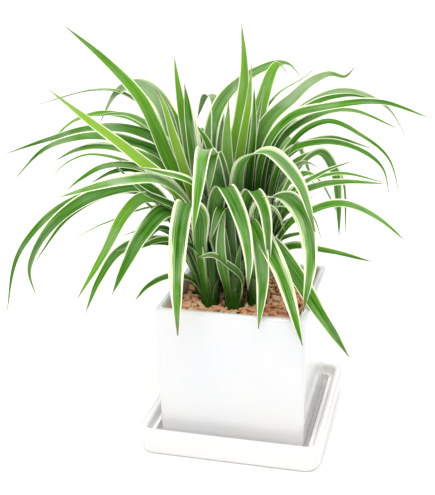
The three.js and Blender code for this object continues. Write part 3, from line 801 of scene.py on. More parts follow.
# %% Leaf table
# Each shoot is the place of its crown, and then for each leaf its width, its turn in degrees (0 faces up,
# 90 stands on edge), its colour, and the places from the crown to the tip.
SHOOTS = {
    "front_left": ((-30, -8), [
        (19, 0, "white", (-38, -24, 170), (-38, -45, 210), (-46, -60, 224), (-54, -75, 182),
         (-56, -80, 122)),
        (20, 20, "deep", (-45, -15, 185), (-64, -30, 208), (-82, -45, 194), (-97, -55, 171),
         (-108, -60, 150)),
        (12, 30, "deep", (-58, -10, 172), (-87, -20, 179), (-105, -30, 174), (-120, -40, 155),
         (-133, -45, 128)),
        (13, 30, "fresh", (-55, -15, 200), (-80, -35, 222), (-95, -50, 213), (-112, -60, 185),
         (-134, -70, 152)),
        (10, 40, "deep", (-78, -5, 215), (-118, -10, 220), (-154, -15, 208), (-187, -25, 174),
         (-202, -30, 121)),
        (14, 40, "deep", (-77, -15, 223), (-121, -20, 221), (-157, -30, 199), (-177, -35, 165),
         (-173, -40, 141)),
        (10, 20, "deep", (-74, -5, 217), (-114, -5, 216), (-146, -15, 200), (-169, -20, 173),
         (-176, -25, 163)),
        (17, 30, "pale", (-46, -30, 214), (-67, -40, 237), (-95, -55, 242), (-118, -65, 240),
         (-142, -70, 235)),
        (9, 30, "green", (-42, -20, 172), (-66, -30, 185), (-85, -40, 183), (-104, -45, 182)),
        (9, 20, "green", (-47, -10, 141), (-65, -15, 146), (-82, -20, 140), (-94, -25, 129)),
        (11, 70, "lime", (-48, -20, 211), (-90, -30, 259), (-120, -35, 286), (-147, -40, 311)),
        (7, 60, "green", (-50, -25, 205), (-80, -30, 226), (-104, -40, 254)),
    ]),
    "left": ((-36, 14), [
        (13, 75, "vivid", (-47, 0, 212), (-61, 0, 243), (-81, 0, 294), (-108, -5, 328), (-135, -10, 354)),
        (10, 30, "grey", (-55, 20, 240), (-92, 30, 275), (-131, 40, 274)),
        (13, 30, "dark", (-65, 20, 248), (-90, 25, 263), (-126, 30, 265), (-164, 35, 256), (-205, 40, 243)),
        (12, 35, "dark", (-63, 15, 238), (-94, 20, 255), (-128, 20, 261), (-167, 25, 250), (-196, 25, 224)),
        (14, 35, "green", (-60, 10, 225), (-86, 10, 246), (-119, 15, 253), (-141, 20, 249),
         (-160, 20, 240)),
        (7, 20, "deep", (-65, 0, 225), (-93, 0, 242), (-128, 5, 249), (-150, 5, 240), (-162, 5, 227)),
        (12, 30, "dark", (-57, 0, 218), (-85, -5, 239), (-114, -5, 241), (-134, -10, 232),
         (-147, -10, 222)),
        (10, 35, "deep", (-55, 5, 208), (-89, 0, 236), (-108, -5, 236), (-127, -5, 227)),
    ]),
    "rear_left": ((-24, 34), [
        (20, 45, "grey", (-58, 45, 252), (-69, 50, 283), (-86, 60, 296), (-107, 70, 289), (-126, 75, 260)),
        (11, 0, "dark", (-75, 55, 266), (-105, 65, 289), (-132, 75, 290), (-166, 85, 281), (-194, 90, 273)),
        (10, 60, "green", (-45, 30, 218), (-54, 30, 271), (-65, 35, 292)),
        (6, 10, "green", (-64, 45, 187), (-124, 60, 171), (-166, 70, 147)),
        (5, 20, "green", (-63, 40, 177), (-88, 50, 168), (-114, 60, 157)),
        (10, 30, "fresh", (-80, 50, 258), (-115, 63, 271), (-145, 70, 265), (-162, 72, 253),
         (-186, 72, 227)),
        (17, 0, "grey", (-21, 40, 215), (-22, 60, 282), (-29, 70, 284), (-38, 80, 262)),
        (6, 30, "green", (-50, 25, 170), (-73, 35, 186), (-96, 40, 206)),
        (15, -40, "grey", (-27, 45, 245), (-16, 55, 280), (9, 65, 301), (41, 80, 309), (58, 95, 293)),
    ]),
    "centre": ((-12, 10), [
        (12, 70, "fresh", (-33, 16, 184), (-47, 22, 262), (-52, 20, 303), (-54, 18, 326)),
        (20, 60, "half", (-32, 4, 188), (-40, 5, 249), (-44, 6, 282), (-46, 6, 305)),
        (14, 65, "lime", (-39, -6, 200), (-56, -10, 263), (-63, -14, 293), (-69, -15, 307)),
        (16, -70, "tall", (-11, 10, 187), (-6, 10, 240), (3, 5, 311), (1, 5, 352)),
        (15, -70, "lime", (-6, 0, 199), (0, 0, 251), (6, -5, 291), (8, -5, 322)),
        (13, 0, "tall", (-12, -10, 203), (-13, -15, 263), (-11, -20, 295)),
        (9, -60, "green", (3, 15, 203), (10, 15, 268), (11, 20, 300)),
        (17, 0, "crest", (-21, -20, 219), (-30, -45, 263), (-36, -73, 240), (-41, -80, 207)),
        (12, 50, "green", (-18, 15, 204), (-29, 20, 253), (-40, 25, 270)),
        (18, 0, "dark", (-16, -15, 209), (-24, -35, 258), (-29, -50, 227)),
        (13, 40, "pale", (-32, -14, 209), (-44, -28, 233), (-67, -38, 244), (-87, -45, 251)),
    ]),
    "rear_right": ((0, 34), [
        (17, -35, "vivid", (8, 40, 227), (20, 50, 284), (33, 63, 310), (46, 80, 297)),
        (9, 5, "green", (8, 40, 241), (31, 50, 285), (56, 55, 300), (69, 60, 310)),
        (15, -45, "soft", (19, 38, 258), (46, 44, 285), (61, 48, 297), (77, 51, 303), (91, 54, 300),
         (99, 56, 307)),
        (9, -60, "pale", (7, 30, 226), (15, 30, 273), (20, 30, 298)),
        (12, 55, "green", (49, 45, 219), (71, 55, 233), (85, 62, 213), (89, 66, 189), (91, 68, 149)),
        (9, -10, "green", (39, 55, 216), (73, 65, 230), (93, 75, 204), (99, 80, 142)),
    ]),
    "right": ((10, 14), [
        (11, -45, "green", (18, 9, 244), (40, 8, 275), (69, 3, 284), (112, -3, 288), (152, -10, 275)),
        (10, -40, "green", (24, 20, 248), (58, 25, 281), (88, 30, 288), (116, 40, 282)),
        (10, -40, "grey", (33, 35, 252), (67, 36, 285), (94, 42, 289), (127, 50, 273), (149, 55, 241)),
        (9, -40, "green", (31, 25, 248), (65, 25, 273), (93, 25, 276), (134, 25, 259)),
        (11, -20, "green", (40, 15, 248), (70, 15, 269), (99, 15, 257), (122, 10, 238), (134, 10, 203)),
        (10, -30, "green", (36, 10, 242), (65, 10, 253), (95, 10, 247), (116, 5, 232), (124, 5, 206)),
        (9, -30, "green", (32, 20, 232), (70, 20, 254), (115, 30, 241)),
        (8, -40, "green", (35, -5, 208), (64, -10, 232), (90, -10, 242)),
        (6, -30, "green", (35, 5, 208), (77, 5, 227), (121, 5, 218)),
        (10, -40, "green", (35, -5, 205), (61, -10, 221), (84, -10, 224), (117, -15, 223)),
        (12, -10, "grey", (28, 25, 208), (54, 35, 229), (74, 45, 218)),
        (7, -20, "green", (37, 25, 186), (58, 35, 186), (74, 45, 149)),
    ]),
    "front_right": ((10, -8), [
        (18, -10, "white", (-5, -20, 218), (1, -35, 251), (19, -50, 260), (40, -65, 240), (52, -75, 204)),
        (19, -5, "banded", (14, -35, 214), (31, -50, 224), (44, -65, 210), (48, -75, 179), (43, -80, 140)),
        (14, 5, "white", (-1, -25, 203), (6, -40, 227), (14, -50, 217), (18, -60, 169)),
        (15, 0, "green", (1, -35, 200), (9, -50, 190), (12, -65, 166), (8, -75, 124)),
        (17, -10, "white", (8, -30, 198), (17, -50, 185), (29, -70, 160), (42, -85, 113)),
        (19, -20, "green", (15, -15, 177), (36, -35, 159), (58, -50, 126), (83, -60, 89)),
        (13, -25, "green", (34, -15, 185), (57, -25, 205), (81, -30, 211), (107, -35, 200),
         (129, -40, 182)),
        (11, -20, "green", (18, -8, 150), (38, -2, 165), (68, 2, 160), (112, 5, 147)),
    ]),
    "front": ((-10, -14), [
        (16, 0, "white", (-24, -30, 202), (-16, -45, 232), (-5, -60, 214), (1, -70, 185), (0, -75, 157)),
        (10, 0, "green", (-20, -35, 166), (-20, -40, 191), (-16, -40, 214)),
        (9, 60, "green", (-4, -30, 149), (-16, -35, 164), (-27, -40, 174), (-40, -45, 174)),
        (14, 0, "dark", (-16, -29, 209), (-20, -39, 211), (-29, -46, 188)),
    ]),
    "rear": ((-14, 50), [
        (15, 0, "green", (-30, 70, 215), (-55, 105, 240), (-80, 140, 190)),
        (14, 5, "green", (-18, 75, 225), (-30, 115, 245), (-40, 150, 180)),
        (16, 0, "green", (-6, 72, 205), (-8, 108, 225), (-12, 140, 150)),
        (14, -5, "green", (8, 74, 220), (22, 115, 240), (30, 155, 185)),
        (15, -10, "green", (20, 68, 210), (48, 100, 235), (75, 130, 180)),
        (13, -10, "green", (28, 60, 190), (65, 85, 205), (100, 105, 150)),
        (13, 10, "green", (-42, 62, 190), (-80, 85, 205), (-115, 105, 150)),
        (12, 0, "green", (12, 66, 180), (28, 90, 180), (42, 112, 115)),
    ]),
}
CROWNS = {name: np.array(crown, float) for name, (crown, leaves) in SHOOTS.items()}
print(sum(len(leaves) for crown, leaves in SHOOTS.values()), "leaves in", len(SHOOTS), "shoots")

# %% [markdown]
# ## Short leaves
# Beside the stems, low in the clump, stand short leaves that are too small for the frame's solids. Without
# them the white ground behind shows through. More chance leaves round the crowns would fill the gaps
# too, but would also hide the stems in front. So these are rows of the same kind as above, placed one by one.

# %% Short leaves
SHORT_LEAVES = {
    "right": [
        (13, -20, "fresh", (21, 2, 163), (30, 2, 179), (43, 2, 189), (58, 2, 192)),
        (12, -10, "green", (20, 0, 158), (32, 0, 171), (46, 0, 176), (62, 0, 176)),
        (12, -30, "fresh", (21, 6, 167), (28, 6, 183), (40, 6, 198), (60, 6, 208)),
    ],
    "front_right": [
        (9, 0, "pale", (15, -10, 189), (18, -14, 206), (26, -18, 203), (34, -20, 184)),
        (8, 10, "white", (19, -6, 185), (25, -8, 202), (36, -10, 203), (46, -10, 188)),
    ],
    "front_left": [
        (10, 20, "green", (-52, -8, 167), (-60, -12, 184), (-70, -16, 190), (-86, -20, 176)),
        (9, 10, "pale", (-52, 0, 160), (-62, 0, 178), (-76, 0, 184), (-94, 0, 178)),
    ],
}
print(sum(len(rows) for rows in SHORT_LEAVES.values()), "short leaves in", len(SHORT_LEAVES), "shoots")

# %% [markdown]
# ## The chips round the stems
# Chips are poured round a plant once it stands in its pot. They could be made before it, but then some would
# stand in the stems. So they wait for the table above, which gives the crowns that they keep clear of.

# %% Chips round the crowns
loose_chips(clump_to_pot(np.array(list(CROWNS.values()))))
print("they keep clear of", len(CROWNS), "crowns")

# %% [markdown]
# ## The midline of a leaf
# A leaf leaves its crown, rises, and bends over under its own weight. A curve object with handles set by
# hand could draw that, but so many leaves have too many handles. So the midline is a curve that finds its
# own slopes: it starts at the root in the crown and passes all the places of the leaf's row smoothly.

# %% Midline
ROOT_HEIGHT = 114  # just above the soil, among the lowest chips


def midline(crown, places, rows, root_out):
    """A smooth curve through all places: between two of them it is a cubic whose slopes weigh the spans by
    the square root of their lengths, so that it neither loops nor swings out at sharp bends."""
    toward = places[0][:2] - crown
    root = np.append(crown + toward / np.linalg.norm(toward) * root_out, ROOT_HEIGHT)
    stops = np.vstack([root, places])
    stops = np.vstack([2 * stops[0] - stops[1], stops, 2 * stops[-1] - stops[-2]])
    share = np.linspace(0, 1, rows) * (len(stops) - 3)
    span = np.minimum(share.astype(int), len(stops) - 4)
    t = (share - span)[:, None]
    before, start, end, after = (stops[span + offset] for offset in range(4))
    pairs = ((before, start), (start, end), (end, after))
    weigh = [np.linalg.norm(b - a, axis=1)[:, None] ** 0.5 for a, b in pairs]
    leave = (start - before) / weigh[0] - (end - before) / (weigh[0] + weigh[1]) + (end - start) / weigh[1]
    arrive = (end - start) / weigh[1] - (after - start) / (weigh[1] + weigh[2]) + (after - end) / weigh[2]
    leave, arrive = leave * weigh[1], arrive * weigh[1]
    cubic = 2 * start - 2 * end + leave + arrive
    square = 3 * end - 3 * start - 2 * leave - arrive
    return start + leave * t + square * t ** 2 + cubic * t ** 3


first_leaf = np.array(SHOOTS["front_left"][1][0][3:], float)
print("the first leaf passes", len(first_leaf), "places and ends", first_leaf[-1, 2], "mm above the ground")

# %% [markdown]
# ## The directions of a blade
# A blade is a flat ribbon that can face up, stand on edge or twist. A ribbon that is swept along a curve by
# itself tends to turn over where the curve bends. Here each row of the leaf is given its own directions
# instead: along the midline, across the blade, which is level and then turned by the angle in the table, and
# out of the upper face.

# %% Blade directions
LEAF_ROWS = 60
TURN_SPREAD = 2  # degrees by which leaves differ from their row in the table


def unit(vectors):
    """Vectors divided by their own length, so that they keep their direction and have length one."""
    return vectors / np.linalg.norm(vectors, axis=-1, keepdims=True)


def leaf_frame(crown, places, turn, root_out):
    """The midline, its running length and share, and the directions at each row. Across is the level
    direction at right angles to the leaf's heading, made square to the midline and turned about it; the
    turn grows from nothing at the root over the first third."""
    middle = midline(crown, places, LEAF_ROWS, root_out)
    steps = np.linalg.norm(np.diff(middle, axis=0), axis=1)
    run = np.concatenate([[0], np.cumsum(steps)])
    share = run / run[-1]
    along = unit(np.gradient(middle, axis=0))
    heading = unit(np.append(places[-1][:2] - crown, 0))
    level = np.cross(heading, (0, 0, 1))
    across = unit(level - (along @ level)[:, None] * along)
    angle = (-np.radians(turn) * np.minimum(1, 3 * share))[:, None]
    across = across * np.cos(angle) + np.cross(along, across) * np.sin(angle)
    return middle, run, share, across, np.cross(across, along)


print("a leaf has", LEAF_ROWS, "rows")

# %% [markdown]
# ## The section of a blade
# A leaf is channelled, like a gutter: tightly rolled where it leaves the crown, opening to a shallow trough,
# almost flat at the tip. A flat strip with a thickness added by a modifier would have neither the channel nor
# the thin margins. So a point of the blade needs two numbers, the share of the length and the share of the
# half width, from -1 at one edge to 1 at the other. Across the midline each section is an arc of a circle,
# and the edges ripple a little, because the thin margin grows faster than the thick middle.

# %% Blade sections
LEAF_COLUMNS = 13
LEAF_THICKNESS = 0.42
LEAF_OPENING = 1.75  # how fast a leaf reaches its full width
TIP_POWER = 5  # how late it narrows towards its tip
LEAST_WIDTH = 0.05  # share of the width left at the very tip
CHANNEL = (1.45, 0.6, 0.35)  # half angle of the section's arc at root, middle and tip
CREASE = 0.3  # depth of the fold along the midline
CREASE_REACH = 0.9
EDGE_THINNING = 0.65  # share of the thickness that is lost at the edges
RIPPLE = 0.035  # height of the ripples along the edges, as a share of the half width
RIPPLE_LENGTH = (26, 48)


def along_leaf(values, share):
    """Values given for root, middle and tip, joined by straight slopes along the length."""
    root, middle, tip = values
    return np.interp(share, (0.0, 0.1, 0.4, 0.7, 1.0), (root, root, middle, middle, tip))


def edge_ripples(u, run, share, half, random):
    """Waves that grow with the square of the way to each edge: a long sine along the leaf and half as much of
    a shorter one, with a length and a phase of their own on either side."""
    waves = np.zeros((len(run), u.shape[1]))
    for edge in (-1, 1):
        length, phase = random.uniform(*RIPPLE_LENGTH), random.uniform(0, 6.28)
        wave = np.sin(run / length * 2 * np.pi + phase) + 0.5 * np.sin(run / length * 5.3 + 2 * phase)
        waves += np.clip(edge * u, 0, 1) ** 2 * (wave * RIPPLE * half * np.minimum(1, 4 * share))[:, None]
    return waves


def leaf_rings(crown, places, width, turn, random, root_width, root_out):
    """Closed sections of one leaf. A point lies on a circle's arc about the midline, lowered by the crease,
    raised by the ripples, and half a thickness above or below; the skin is thinner towards the edges.

    The second array says where each point lies on the blade, in mm: across, along and from the edge.
    """
    turned = turn + random.normal(0, TURN_SPREAD)
    middle, run, share, across, face = leaf_frame(crown, places, turned, root_out)
    taper = np.minimum(1, root_width + LEAF_OPENING * share) * (1 - share ** TIP_POWER)
    half = width / 2 * np.maximum(LEAST_WIDTH, taper)
    bend = along_leaf(CHANNEL, share)
    u = np.linspace(-1, 1, LEAF_COLUMNS)[None, :]
    angle = bend[:, None] * u
    radius = (half / bend)[:, None]
    sideways = radius * np.sin(angle)
    lift = radius * (1 - np.cos(angle))
    lift -= CREASE * np.minimum(1, half / 4)[:, None] * np.exp(-np.abs(u) * half[:, None] / CREASE_REACH)
    lift += edge_ripples(u, run, share, half, random)
    skin = LEAF_THICKNESS / 2 * (1 - EDGE_THINNING * np.abs(u) ** 3) * np.minimum(1, half / 2)[:, None]
    rings = []
    for level in (-1, 1):
        over = sideways - level * skin * np.sin(angle)
        out = lift + level * skin * np.cos(angle)
        rings.append(middle[:, None] + across[:, None] * over[..., None] + face[:, None] * out[..., None])
    rings = np.concatenate([rings[0][:, ::-1], rings[1]], 1)
    u = np.concatenate([u[:, ::-1], u], 1)
    place = np.stack([u * half[:, None], run[:, None] + 0 * u, (1 - np.abs(u)) * half[:, None]], -1)
    under = np.concatenate([np.ones(LEAF_COLUMNS), np.zeros(LEAF_COLUMNS)])[None, :] + 0 * share[:, None]
    return rings, place, share[:, None] + 0 * u, under, u


print("a section has", 2 * LEAF_COLUMNS, "points")

# %% [markdown]
# ## Green fibres
# A leaf's colour follows its length. A painted picture of a leaf could be stretched over every blade, but
# then all would be alike. So the material reads where a point lies on the blade, in millimetres: how far
# across, how far along, and how far from the nearest edge. The green is made of fibres: noise that changes
# quickly across the leaf and hardly at all along it. A painted sheen greys it in patches and over the outer
# half.

# %% Green fibres
DEEP_GREEN = (0.023, 0.12, 0.006, 1)
LEAF_GREEN = (0.14, 0.39, 0.02, 1)
FRESH_GREEN = (0.275, 0.49, 0.042, 1)
GREY_GREEN = (0.36, 0.47, 0.28, 1)
FIBRES = {  # lines to the millimetre across, and how far they run before they change
    "broad": (0.36, 80.0),
    "fine": (1.1, 45.0),
    "patches": (0.06, 30.0),
}


def fibre_noise(tree, across, run, seed, fineness, stretch):
    """Noise in lines along the leaf: fineness lines to the millimetre, which change over stretch mm."""
    offset = maths(tree, "MULTIPLY", seed, 90.0)
    x = maths(tree, "ADD", maths(tree, "MULTIPLY", across, fineness), offset)
    y = maths(tree, "MULTIPLY", run, 1 / stretch)
    return noise(tree, place_from(tree, x, y, offset), 1.0, 2.0)


def fibrous_green(tree, tone, grey, share, fibres):
    """A darker and a lighter green by the tone of the leaf, mixed by the fibres, then greyed by painted sheen
    in patches and, on a leaf with much grey, over its outer half. Gives the finished green and the lighter
    one."""
    broad_share = maths(tree, "MULTIPLY", fibres["broad"], 0.45)
    fine_share = maths(tree, "MULTIPLY", fibres["fine"], 0.55)
    shade = ramp(tree, maths(tree, "ADD", broad_share, fine_share), 0.4, 0.6)
    lighter = blend(tree, ramp(tree, tone, 0.25, 1.0), LEAF_GREEN, FRESH_GREEN)
    darker = blend(tree, ramp(tree, tone, 0.1, 0.9), DEEP_GREEN, lighter)
    light_fibres = ramp(tree, tone, 0.0, 0.25, 0.5, 0.85)
    green = blend(tree, maths(tree, "MULTIPLY", shade, light_fibres), darker, lighter)
    # painted sheen: grey-green in patches and over the outer half, where light glances off the leaf
    sheen_strength = maths(tree, "ADD", grey, ramp(tree, share, 0.35, 0.9, 0.0, 0.25))
    sheen_patches = maths(tree, "MULTIPLY", ramp(tree, fibres["patches"], 0.35, 0.7), sheen_strength)
    outer_sheen = maths(tree, "MULTIPLY", ramp(tree, grey, 0.4, 1.0, 0.0, 0.6), ramp(tree, share, 0.35, 0.7))
    return blend(tree, maths(tree, "MAXIMUM", sheen_patches, outer_sheen), green, GREY_GREEN), lighter


print("fibres from", DEEP_GREEN[:3], "to", FRESH_GREEN[:3])

# %% [markdown]
# ## Cream margins
# What makes this plant known at a glance are the cream margins along its leaves. They could be faces of
# their own with a second material, but their inner border is never a clean line. Here the margin is every
# point that lies nearer to the edge than the leaf's own margin width. That border wanders, and it sends fine
# cream lines into the green. Close to the crown the margins are still greenish.

# %% Margins
CREAM = (0.93, 1.0, 0.68, 1)
YOUNG_MARGIN = (0.48, 0.7, 0.22, 1)


def cream_margins(tree, green, lighter, share, edge, margin, fibres):
    """Cream where the way to the edge is less than the margin's width times a slow noise, with lines of green
    in broad margins; beyond it a halo of cream lines fades into the green over 1.3 more widths."""
    fine = fibres["fine"]
    wander = maths(tree, "MULTIPLY", margin, ramp(tree, fibres["broad"], 0.2, 0.8, 0.75, 1.3))
    inner = maths(tree, "ADD", wander, maths(tree, "MULTIPLY", margin, 1.3))
    halo = ramp(tree, edge, wander, inner, 0.45, 0.0)
    pale = blend(tree, ramp(tree, share, 0.08, 0.4), YOUNG_MARGIN, CREAM)
    green = blend(tree, maths(tree, "MULTIPLY", halo, ramp(tree, fine, 0.4, 0.6)), green, pale)
    soft = maths(tree, "ADD", wander, 0.25)
    lines = maths(tree, "MULTIPLY", ramp(tree, fine, 0.5, 0.6), ramp(tree, margin, 1.7, 2.6, 0.0, 0.8))
    cream = blend(tree, maths(tree, "MULTIPLY", lines, ramp(tree, edge, 0.5, 1.1)), pale, lighter)
    return blend(tree, ramp(tree, edge, wander, soft), cream, green)


print("margins from", YOUNG_MARGIN[:3], "at the root to", CREAM[:3])

# %% [markdown]
# ## Roots, tips and undersides
# Deep in the clump hardly any light arrives, and the leaf bases there look a very dark green. Lamps alone
# could leave them dark, but thin leaves that pass some light on would still glow. So painted shade darkens
# the colour near the heart of the clump and close to a leaf's own root. The tips dry to a dull brown, and
# undersides are a little paler. A leaf is also thin, so some light passes through, which the shader's
# subsurface gives.

# %% Leaf material
# painted shade: the colour that stands in for the shade deep in the clump and at each leaf's root
SHADED_ROOT = (0.007, 0.05, 0.002, 1)
DRY_TIP = (0.2, 0.15, 0.07, 1)
HEART = clump_to_pot(np.array([[-12.0, 16.0]]))[0]  # the middle of the clump
HEART_REACH = (22, 58)  # as dark as can be within the first, and no darker than elsewhere beyond the second
HEART_HEIGHT = (200, 270)  # the same two for the height above the ground
# how strongly painted shade darkens deep in the clump and at a leaf's root
HEART_SHADOW = 0.95
ROOT_SHADOW = 0.6
LEAF_GLOSS = (0.3, 0.42)  # least and most roughness of the upper face
LEAF_RELIEF = 0.12
LEAF_LIGHT = {  # a faint gleam, and light that spreads inside, green light furthest, by 1.2 mm
    "Specular IOR Level": 0.12,
    "Subsurface Weight": 0.12,
    "Subsurface Radius": (0.5, 1.0, 0.2),
    "Subsurface Scale": 1.2 * MM,
}


def root_shadow(tree, share):
    """How much painted shade darkens a point: the larger of two painted shadows. One depends on its level
    distance from the heart and fades with height, the other depends on how close it is to the leaf's own
    root."""
    x, y, z = parts_of(tree, object_place(tree))
    inner, outer, low, high = (side * MM for side in HEART_REACH + HEART_HEIGHT)
    aside = maths(tree, "SUBTRACT", x, HEART[0] * MM)
    behind = maths(tree, "SUBTRACT", y, HEART[1] * MM)
    aside_square = maths(tree, "MULTIPLY", aside, aside)
    behind_square = maths(tree, "MULTIPLY", behind, behind)
    reach = maths(tree, "SQRT", maths(tree, "ADD", aside_square, behind_square))
    near = ramp(tree, reach, inner, outer, HEART_SHADOW, 0.0)
    heart_shade = maths(tree, "MULTIPLY", near, ramp(tree, z, low, high, 1.0, 0.0))
    root_shade = ramp(tree, share, 0.03, 0.3, ROOT_SHADOW, 0.0)
    return maths(tree, "MAXIMUM", heart_shade, root_shade)


def leaf_material():
    """Green fibres between wandering cream margins, greyed in places by painted sheen, paler below,
    darkened by painted shade at the root and deep in the clump, dry at the tip.
    """
    material, tree, shader = new_material("striped_leaf")
    across, run, edge = read_vector(tree, "blade_place")
    tone, seed, margin = read_vector(tree, "blade_look")
    # share of the length, underside or not, and how much painted sheen greys the leaf
    share, under, grey = read_vector(tree, "blade_length_side_sheen")
    fibres = {use: fibre_noise(tree, across, run, seed, *fibre) for use, fibre in FIBRES.items()}
    green, lighter = fibrous_green(tree, tone, grey, share, fibres)
    striped = cream_margins(tree, green, lighter, share, edge, margin, fibres)
    # painted shade: darker near the heart of the clump, low down, and at each leaf's root
    shaded_colour = blend(tree, root_shadow(tree, share), striped, SHADED_ROOT)
    dry = maths(tree, "MULTIPLY", ramp(tree, share, 0.93, 1.0), ramp(tree, seed, 0.2, 0.6, 0.2, 1.0))
    aged = blend(tree, dry, shaded_colour, DRY_TIP)
    paler = maths(tree, "MULTIPLY", under, ramp(tree, share, 0.3, 0.6, 0.0, 0.12))
    feed(tree, shader.inputs["Base Color"], blend(tree, paler, aged, GREY_GREEN))
    gloss = ramp(tree, fibres["broad"], 0.2, 0.8, *LEAF_GLOSS)
    feed(tree, shader.inputs["Roughness"], maths(tree, "ADD", gloss, maths(tree, "MULTIPLY", under, 0.12)))
    bump(tree, shader, maths(tree, "ADD", fibres["fine"], fibres["broad"]), LEAF_RELIEF, 0.7)
    set_finish(shader, LEAF_LIGHT)
    return material


striped_leaf = leaf_material()
print("leaf material has", len(striped_leaf.node_tree.nodes), "nodes")

# %% [markdown]
# ## The look of each leaf
# No two leaves of a plant are quite alike, and one material is enough for all: what differs is stored on the
# points of each leaf, and the material reads it there. A material for each leaf would give the same picture,
# but then every change would have to be made in all of them. The table's colour words set how dark a leaf
# is, how wide its two margins are, and how much painted sheen greys its skin. Small variations on top of
# that come from a seeded random source, so every run gives the same plant.

# %% Leaf looks
# Tone from dark to lime, the two margins as shares of the width, and how much painted sheen greys the skin.
COLOURS = {
    "green": (0.28, 0.07, 0.07, 0.12),
    "white": (0.2, 0.1, 0.1, 0.12),
    "banded": (0.2, 0.09, 0.25, 0.12),
    "dark": (0.06, 0.045, 0.045, 0.25),
    "deep": (0.13, 0.055, 0.055, 0.05),
    "half": (0.25, 0.05, 0.42, 0.4),
    "vivid": (0.5, 0.05, 0.05, 0.0),
    "soft": (0.45, 0.03, 0.03, 0.6),
    "crest": (0.25, 0.08, 0.08, 0.6),
    "fresh": (0.52, 0.05, 0.05, 0.1),
    "lime": (0.78, 0.05, 0.05, 0.0),
    "tall": (0.55, 0.06, 0.04, 0.0),
    "pale": (0.35, 0.13, 0.13, 0.5),
    "grey": (0.2, 0.06, 0.06, 1.0),
    "sheath": (0.16, 0.02, 0.02, 0.1),
    "inner": (0.15, 0.04, 0.04, 0.05),
}
TONE_SPREAD = 0.05
MARGIN_SPREAD = (0.75, 1.3)
MARGIN_START = 0.06  # share of the length at which the margins begin
MARGIN_GROWTH = 0.24  # share over which they widen
MARGIN_END = 0.22  # share over which they narrow at the tip
GREY_SPREAD = (0.6, 1.2)
LEAF_ROOT = (0.24, 3.5)  # a leaf's width at its root, as a share, and how far from the crown's axis it starts
SHEATH_ROOT = (0.95, 7.5)  # the same for the broad short leaves that clasp the crown


def leaf_arrays(crown, places, width, turn, colour, random):
    """Points and looks of one leaf. Its margins start at nothing in the crown, widen over the first third,
    drift by two slow waves, never pass half of the half width, and narrow again towards the tip."""
    root = SHEATH_ROOT if colour == "sheath" else LEAF_ROOT
    rings, place, share, under, u = leaf_rings(crown, places, width, turn, random, *root)
    tone, *margins, grey = COLOURS[colour]
    seed = random.uniform()
    tone = np.clip(tone + random.normal(0, TONE_SPREAD), 0, 1)
    sides = np.array(margins) * width * random.uniform(*MARGIN_SPREAD, 2)
    half = np.abs(place[..., :1]).max(1)
    drift = 1 + 0.2 * np.sin(share * 9 + 20 * seed) + 0.12 * np.sin(share * 31 + 50 * seed)
    border = np.where(u < 0, sides[0], sides[1]) * drift
    border = border * np.clip((share - MARGIN_START) / MARGIN_GROWTH, 0, 1)
    border = np.minimum(border, 0.5 * half) * np.clip((1 - share) / MARGIN_END, 0.1, 1)
    look = np.stack([tone + 0 * u * share, seed + 0 * u * share, border], -1)
    # the third number is how much painted sheen greys the leaf
    length_side_sheen = np.stack([share, under, grey * random.uniform(*GREY_SPREAD) + 0 * share], -1)
    return rings, place, look, length_side_sheen


print(len(COLOURS), "kinds of leaf colour")

# %% [markdown]
# ## Sheaths and young leaves
# Where a shoot leaves the soil, short and broad leaf bases clasp one another, and a few narrow young leaves
# stand among the long ones. They could go into the table too, but nobody can tell them apart there, so a
# rule places them: in a ring round the crown, each with a width, a height and a lean of its own.

# %% Sheaths and young leaves
# For each kind: how many, the ring's radius, and the limits of width, height and lean, in millimetres.
YOUNG_LEAVES = {
    "sheath": (16, 7, (9, 12.5), (26, 74), (1, 7)),
    "inner": (6, 5, (6, 9), (55, 105), (6, 24)),
}


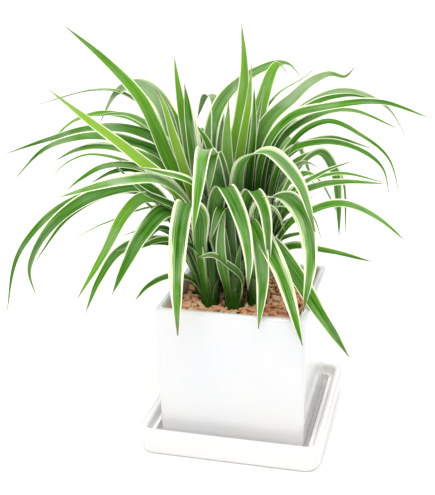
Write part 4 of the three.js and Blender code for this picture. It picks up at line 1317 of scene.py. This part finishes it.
def ring_of_leaves(crown, random, colour, count, radius, widths, heights, leans):
    """Rows for upright leaves in a ring. Each stands at an even angle, moved by up to about a third of a
    step, passes a low place, and ends at its height, further out by its lean."""
    rows = []
    for number in range(count):
        angle = 2 * np.pi * (number + random.uniform(-0.35, 0.35)) / count
        out = np.array([np.cos(angle), np.sin(angle)])
        tall, lean = random.uniform(*heights), random.uniform(*leans)
        low = np.append(crown + out * (radius + 0.2 * lean), ROOT_HEIGHT + 0.4 * tall)
        high = np.append(crown + out * (radius + lean), ROOT_HEIGHT + tall)
        rows.append((random.uniform(*widths), 0, colour, low, high))
    return rows


def young_rows(crown, random):
    """The sheaths that clasp the crown, then the narrow leaves that stand among the long ones."""
    rows = []
    for colour, limits in YOUNG_LEAVES.items():
        rows += ring_of_leaves(crown, random, colour, *limits)
    return rows


print(sum(limits[0] for limits in YOUNG_LEAVES.values()), "sheaths and young leaves round each crown")

# %% [markdown]
# ## Shoots
# Each shoot is one mesh: its long leaves, its sheaths, its young leaves and, in some, the short ones. A leaf
# could be an object of its own, but a rosette grows from one crown and is one piece of the plant. All its
# leaves have the same number of rings, so their arrays can simply be stacked.

# %% Shoots
SHOOT_SEED = 100


def leafy_shoot(name, crown, leaves, number):
    """One mesh of all leaves of a shoot. Each leaf has the same faces as the one before it, with all their
    numbers raised by the count of a leaf's points."""
    random = np.random.default_rng(SHOOT_SEED + number)
    parts = []
    for width, turn, colour, *places in leaves + young_rows(crown, random) + SHORT_LEAVES.get(name, []):
        parts.append(leaf_arrays(crown, np.array(places, float), width, turn, colour, random))
    rings, place, look, length_side_sheen = (np.concatenate(stack) for stack in zip(*parts))
    size = 2 * LEAF_COLUMNS
    one = pile_faces(LEAF_ROWS, size)
    faces = (one[None] + np.arange(len(parts))[:, None, None] * LEAF_ROWS * size).reshape(-1, 4)
    vectors = {"blade_place": place, "blade_look": look, "blade_length_side_sheen": length_side_sheen}
    vectors = {label: values.reshape(-1, 3) for label, values in vectors.items()}
    points = clump_to_pot(rings.reshape(-1, 3))
    make_piece("leaves_" + name, points, faces, striped_leaf, ["shoot_" + name], vectors)


for number, (name, (_, leaves)) in enumerate(SHOOTS.items()):
    leafy_shoot(name, CROWNS[name], leaves, number)
print(len(SHOOTS), "shoots stand in the pot")

# %% [markdown]
# ## Handing over
# A plant that is dressed in finer leaves should not have grown. The last cell prints the size of the frame.

# %% Sizes and finish
print("frame ", [[round(value / MM, 1) for value in corner] for corner in cad_box])
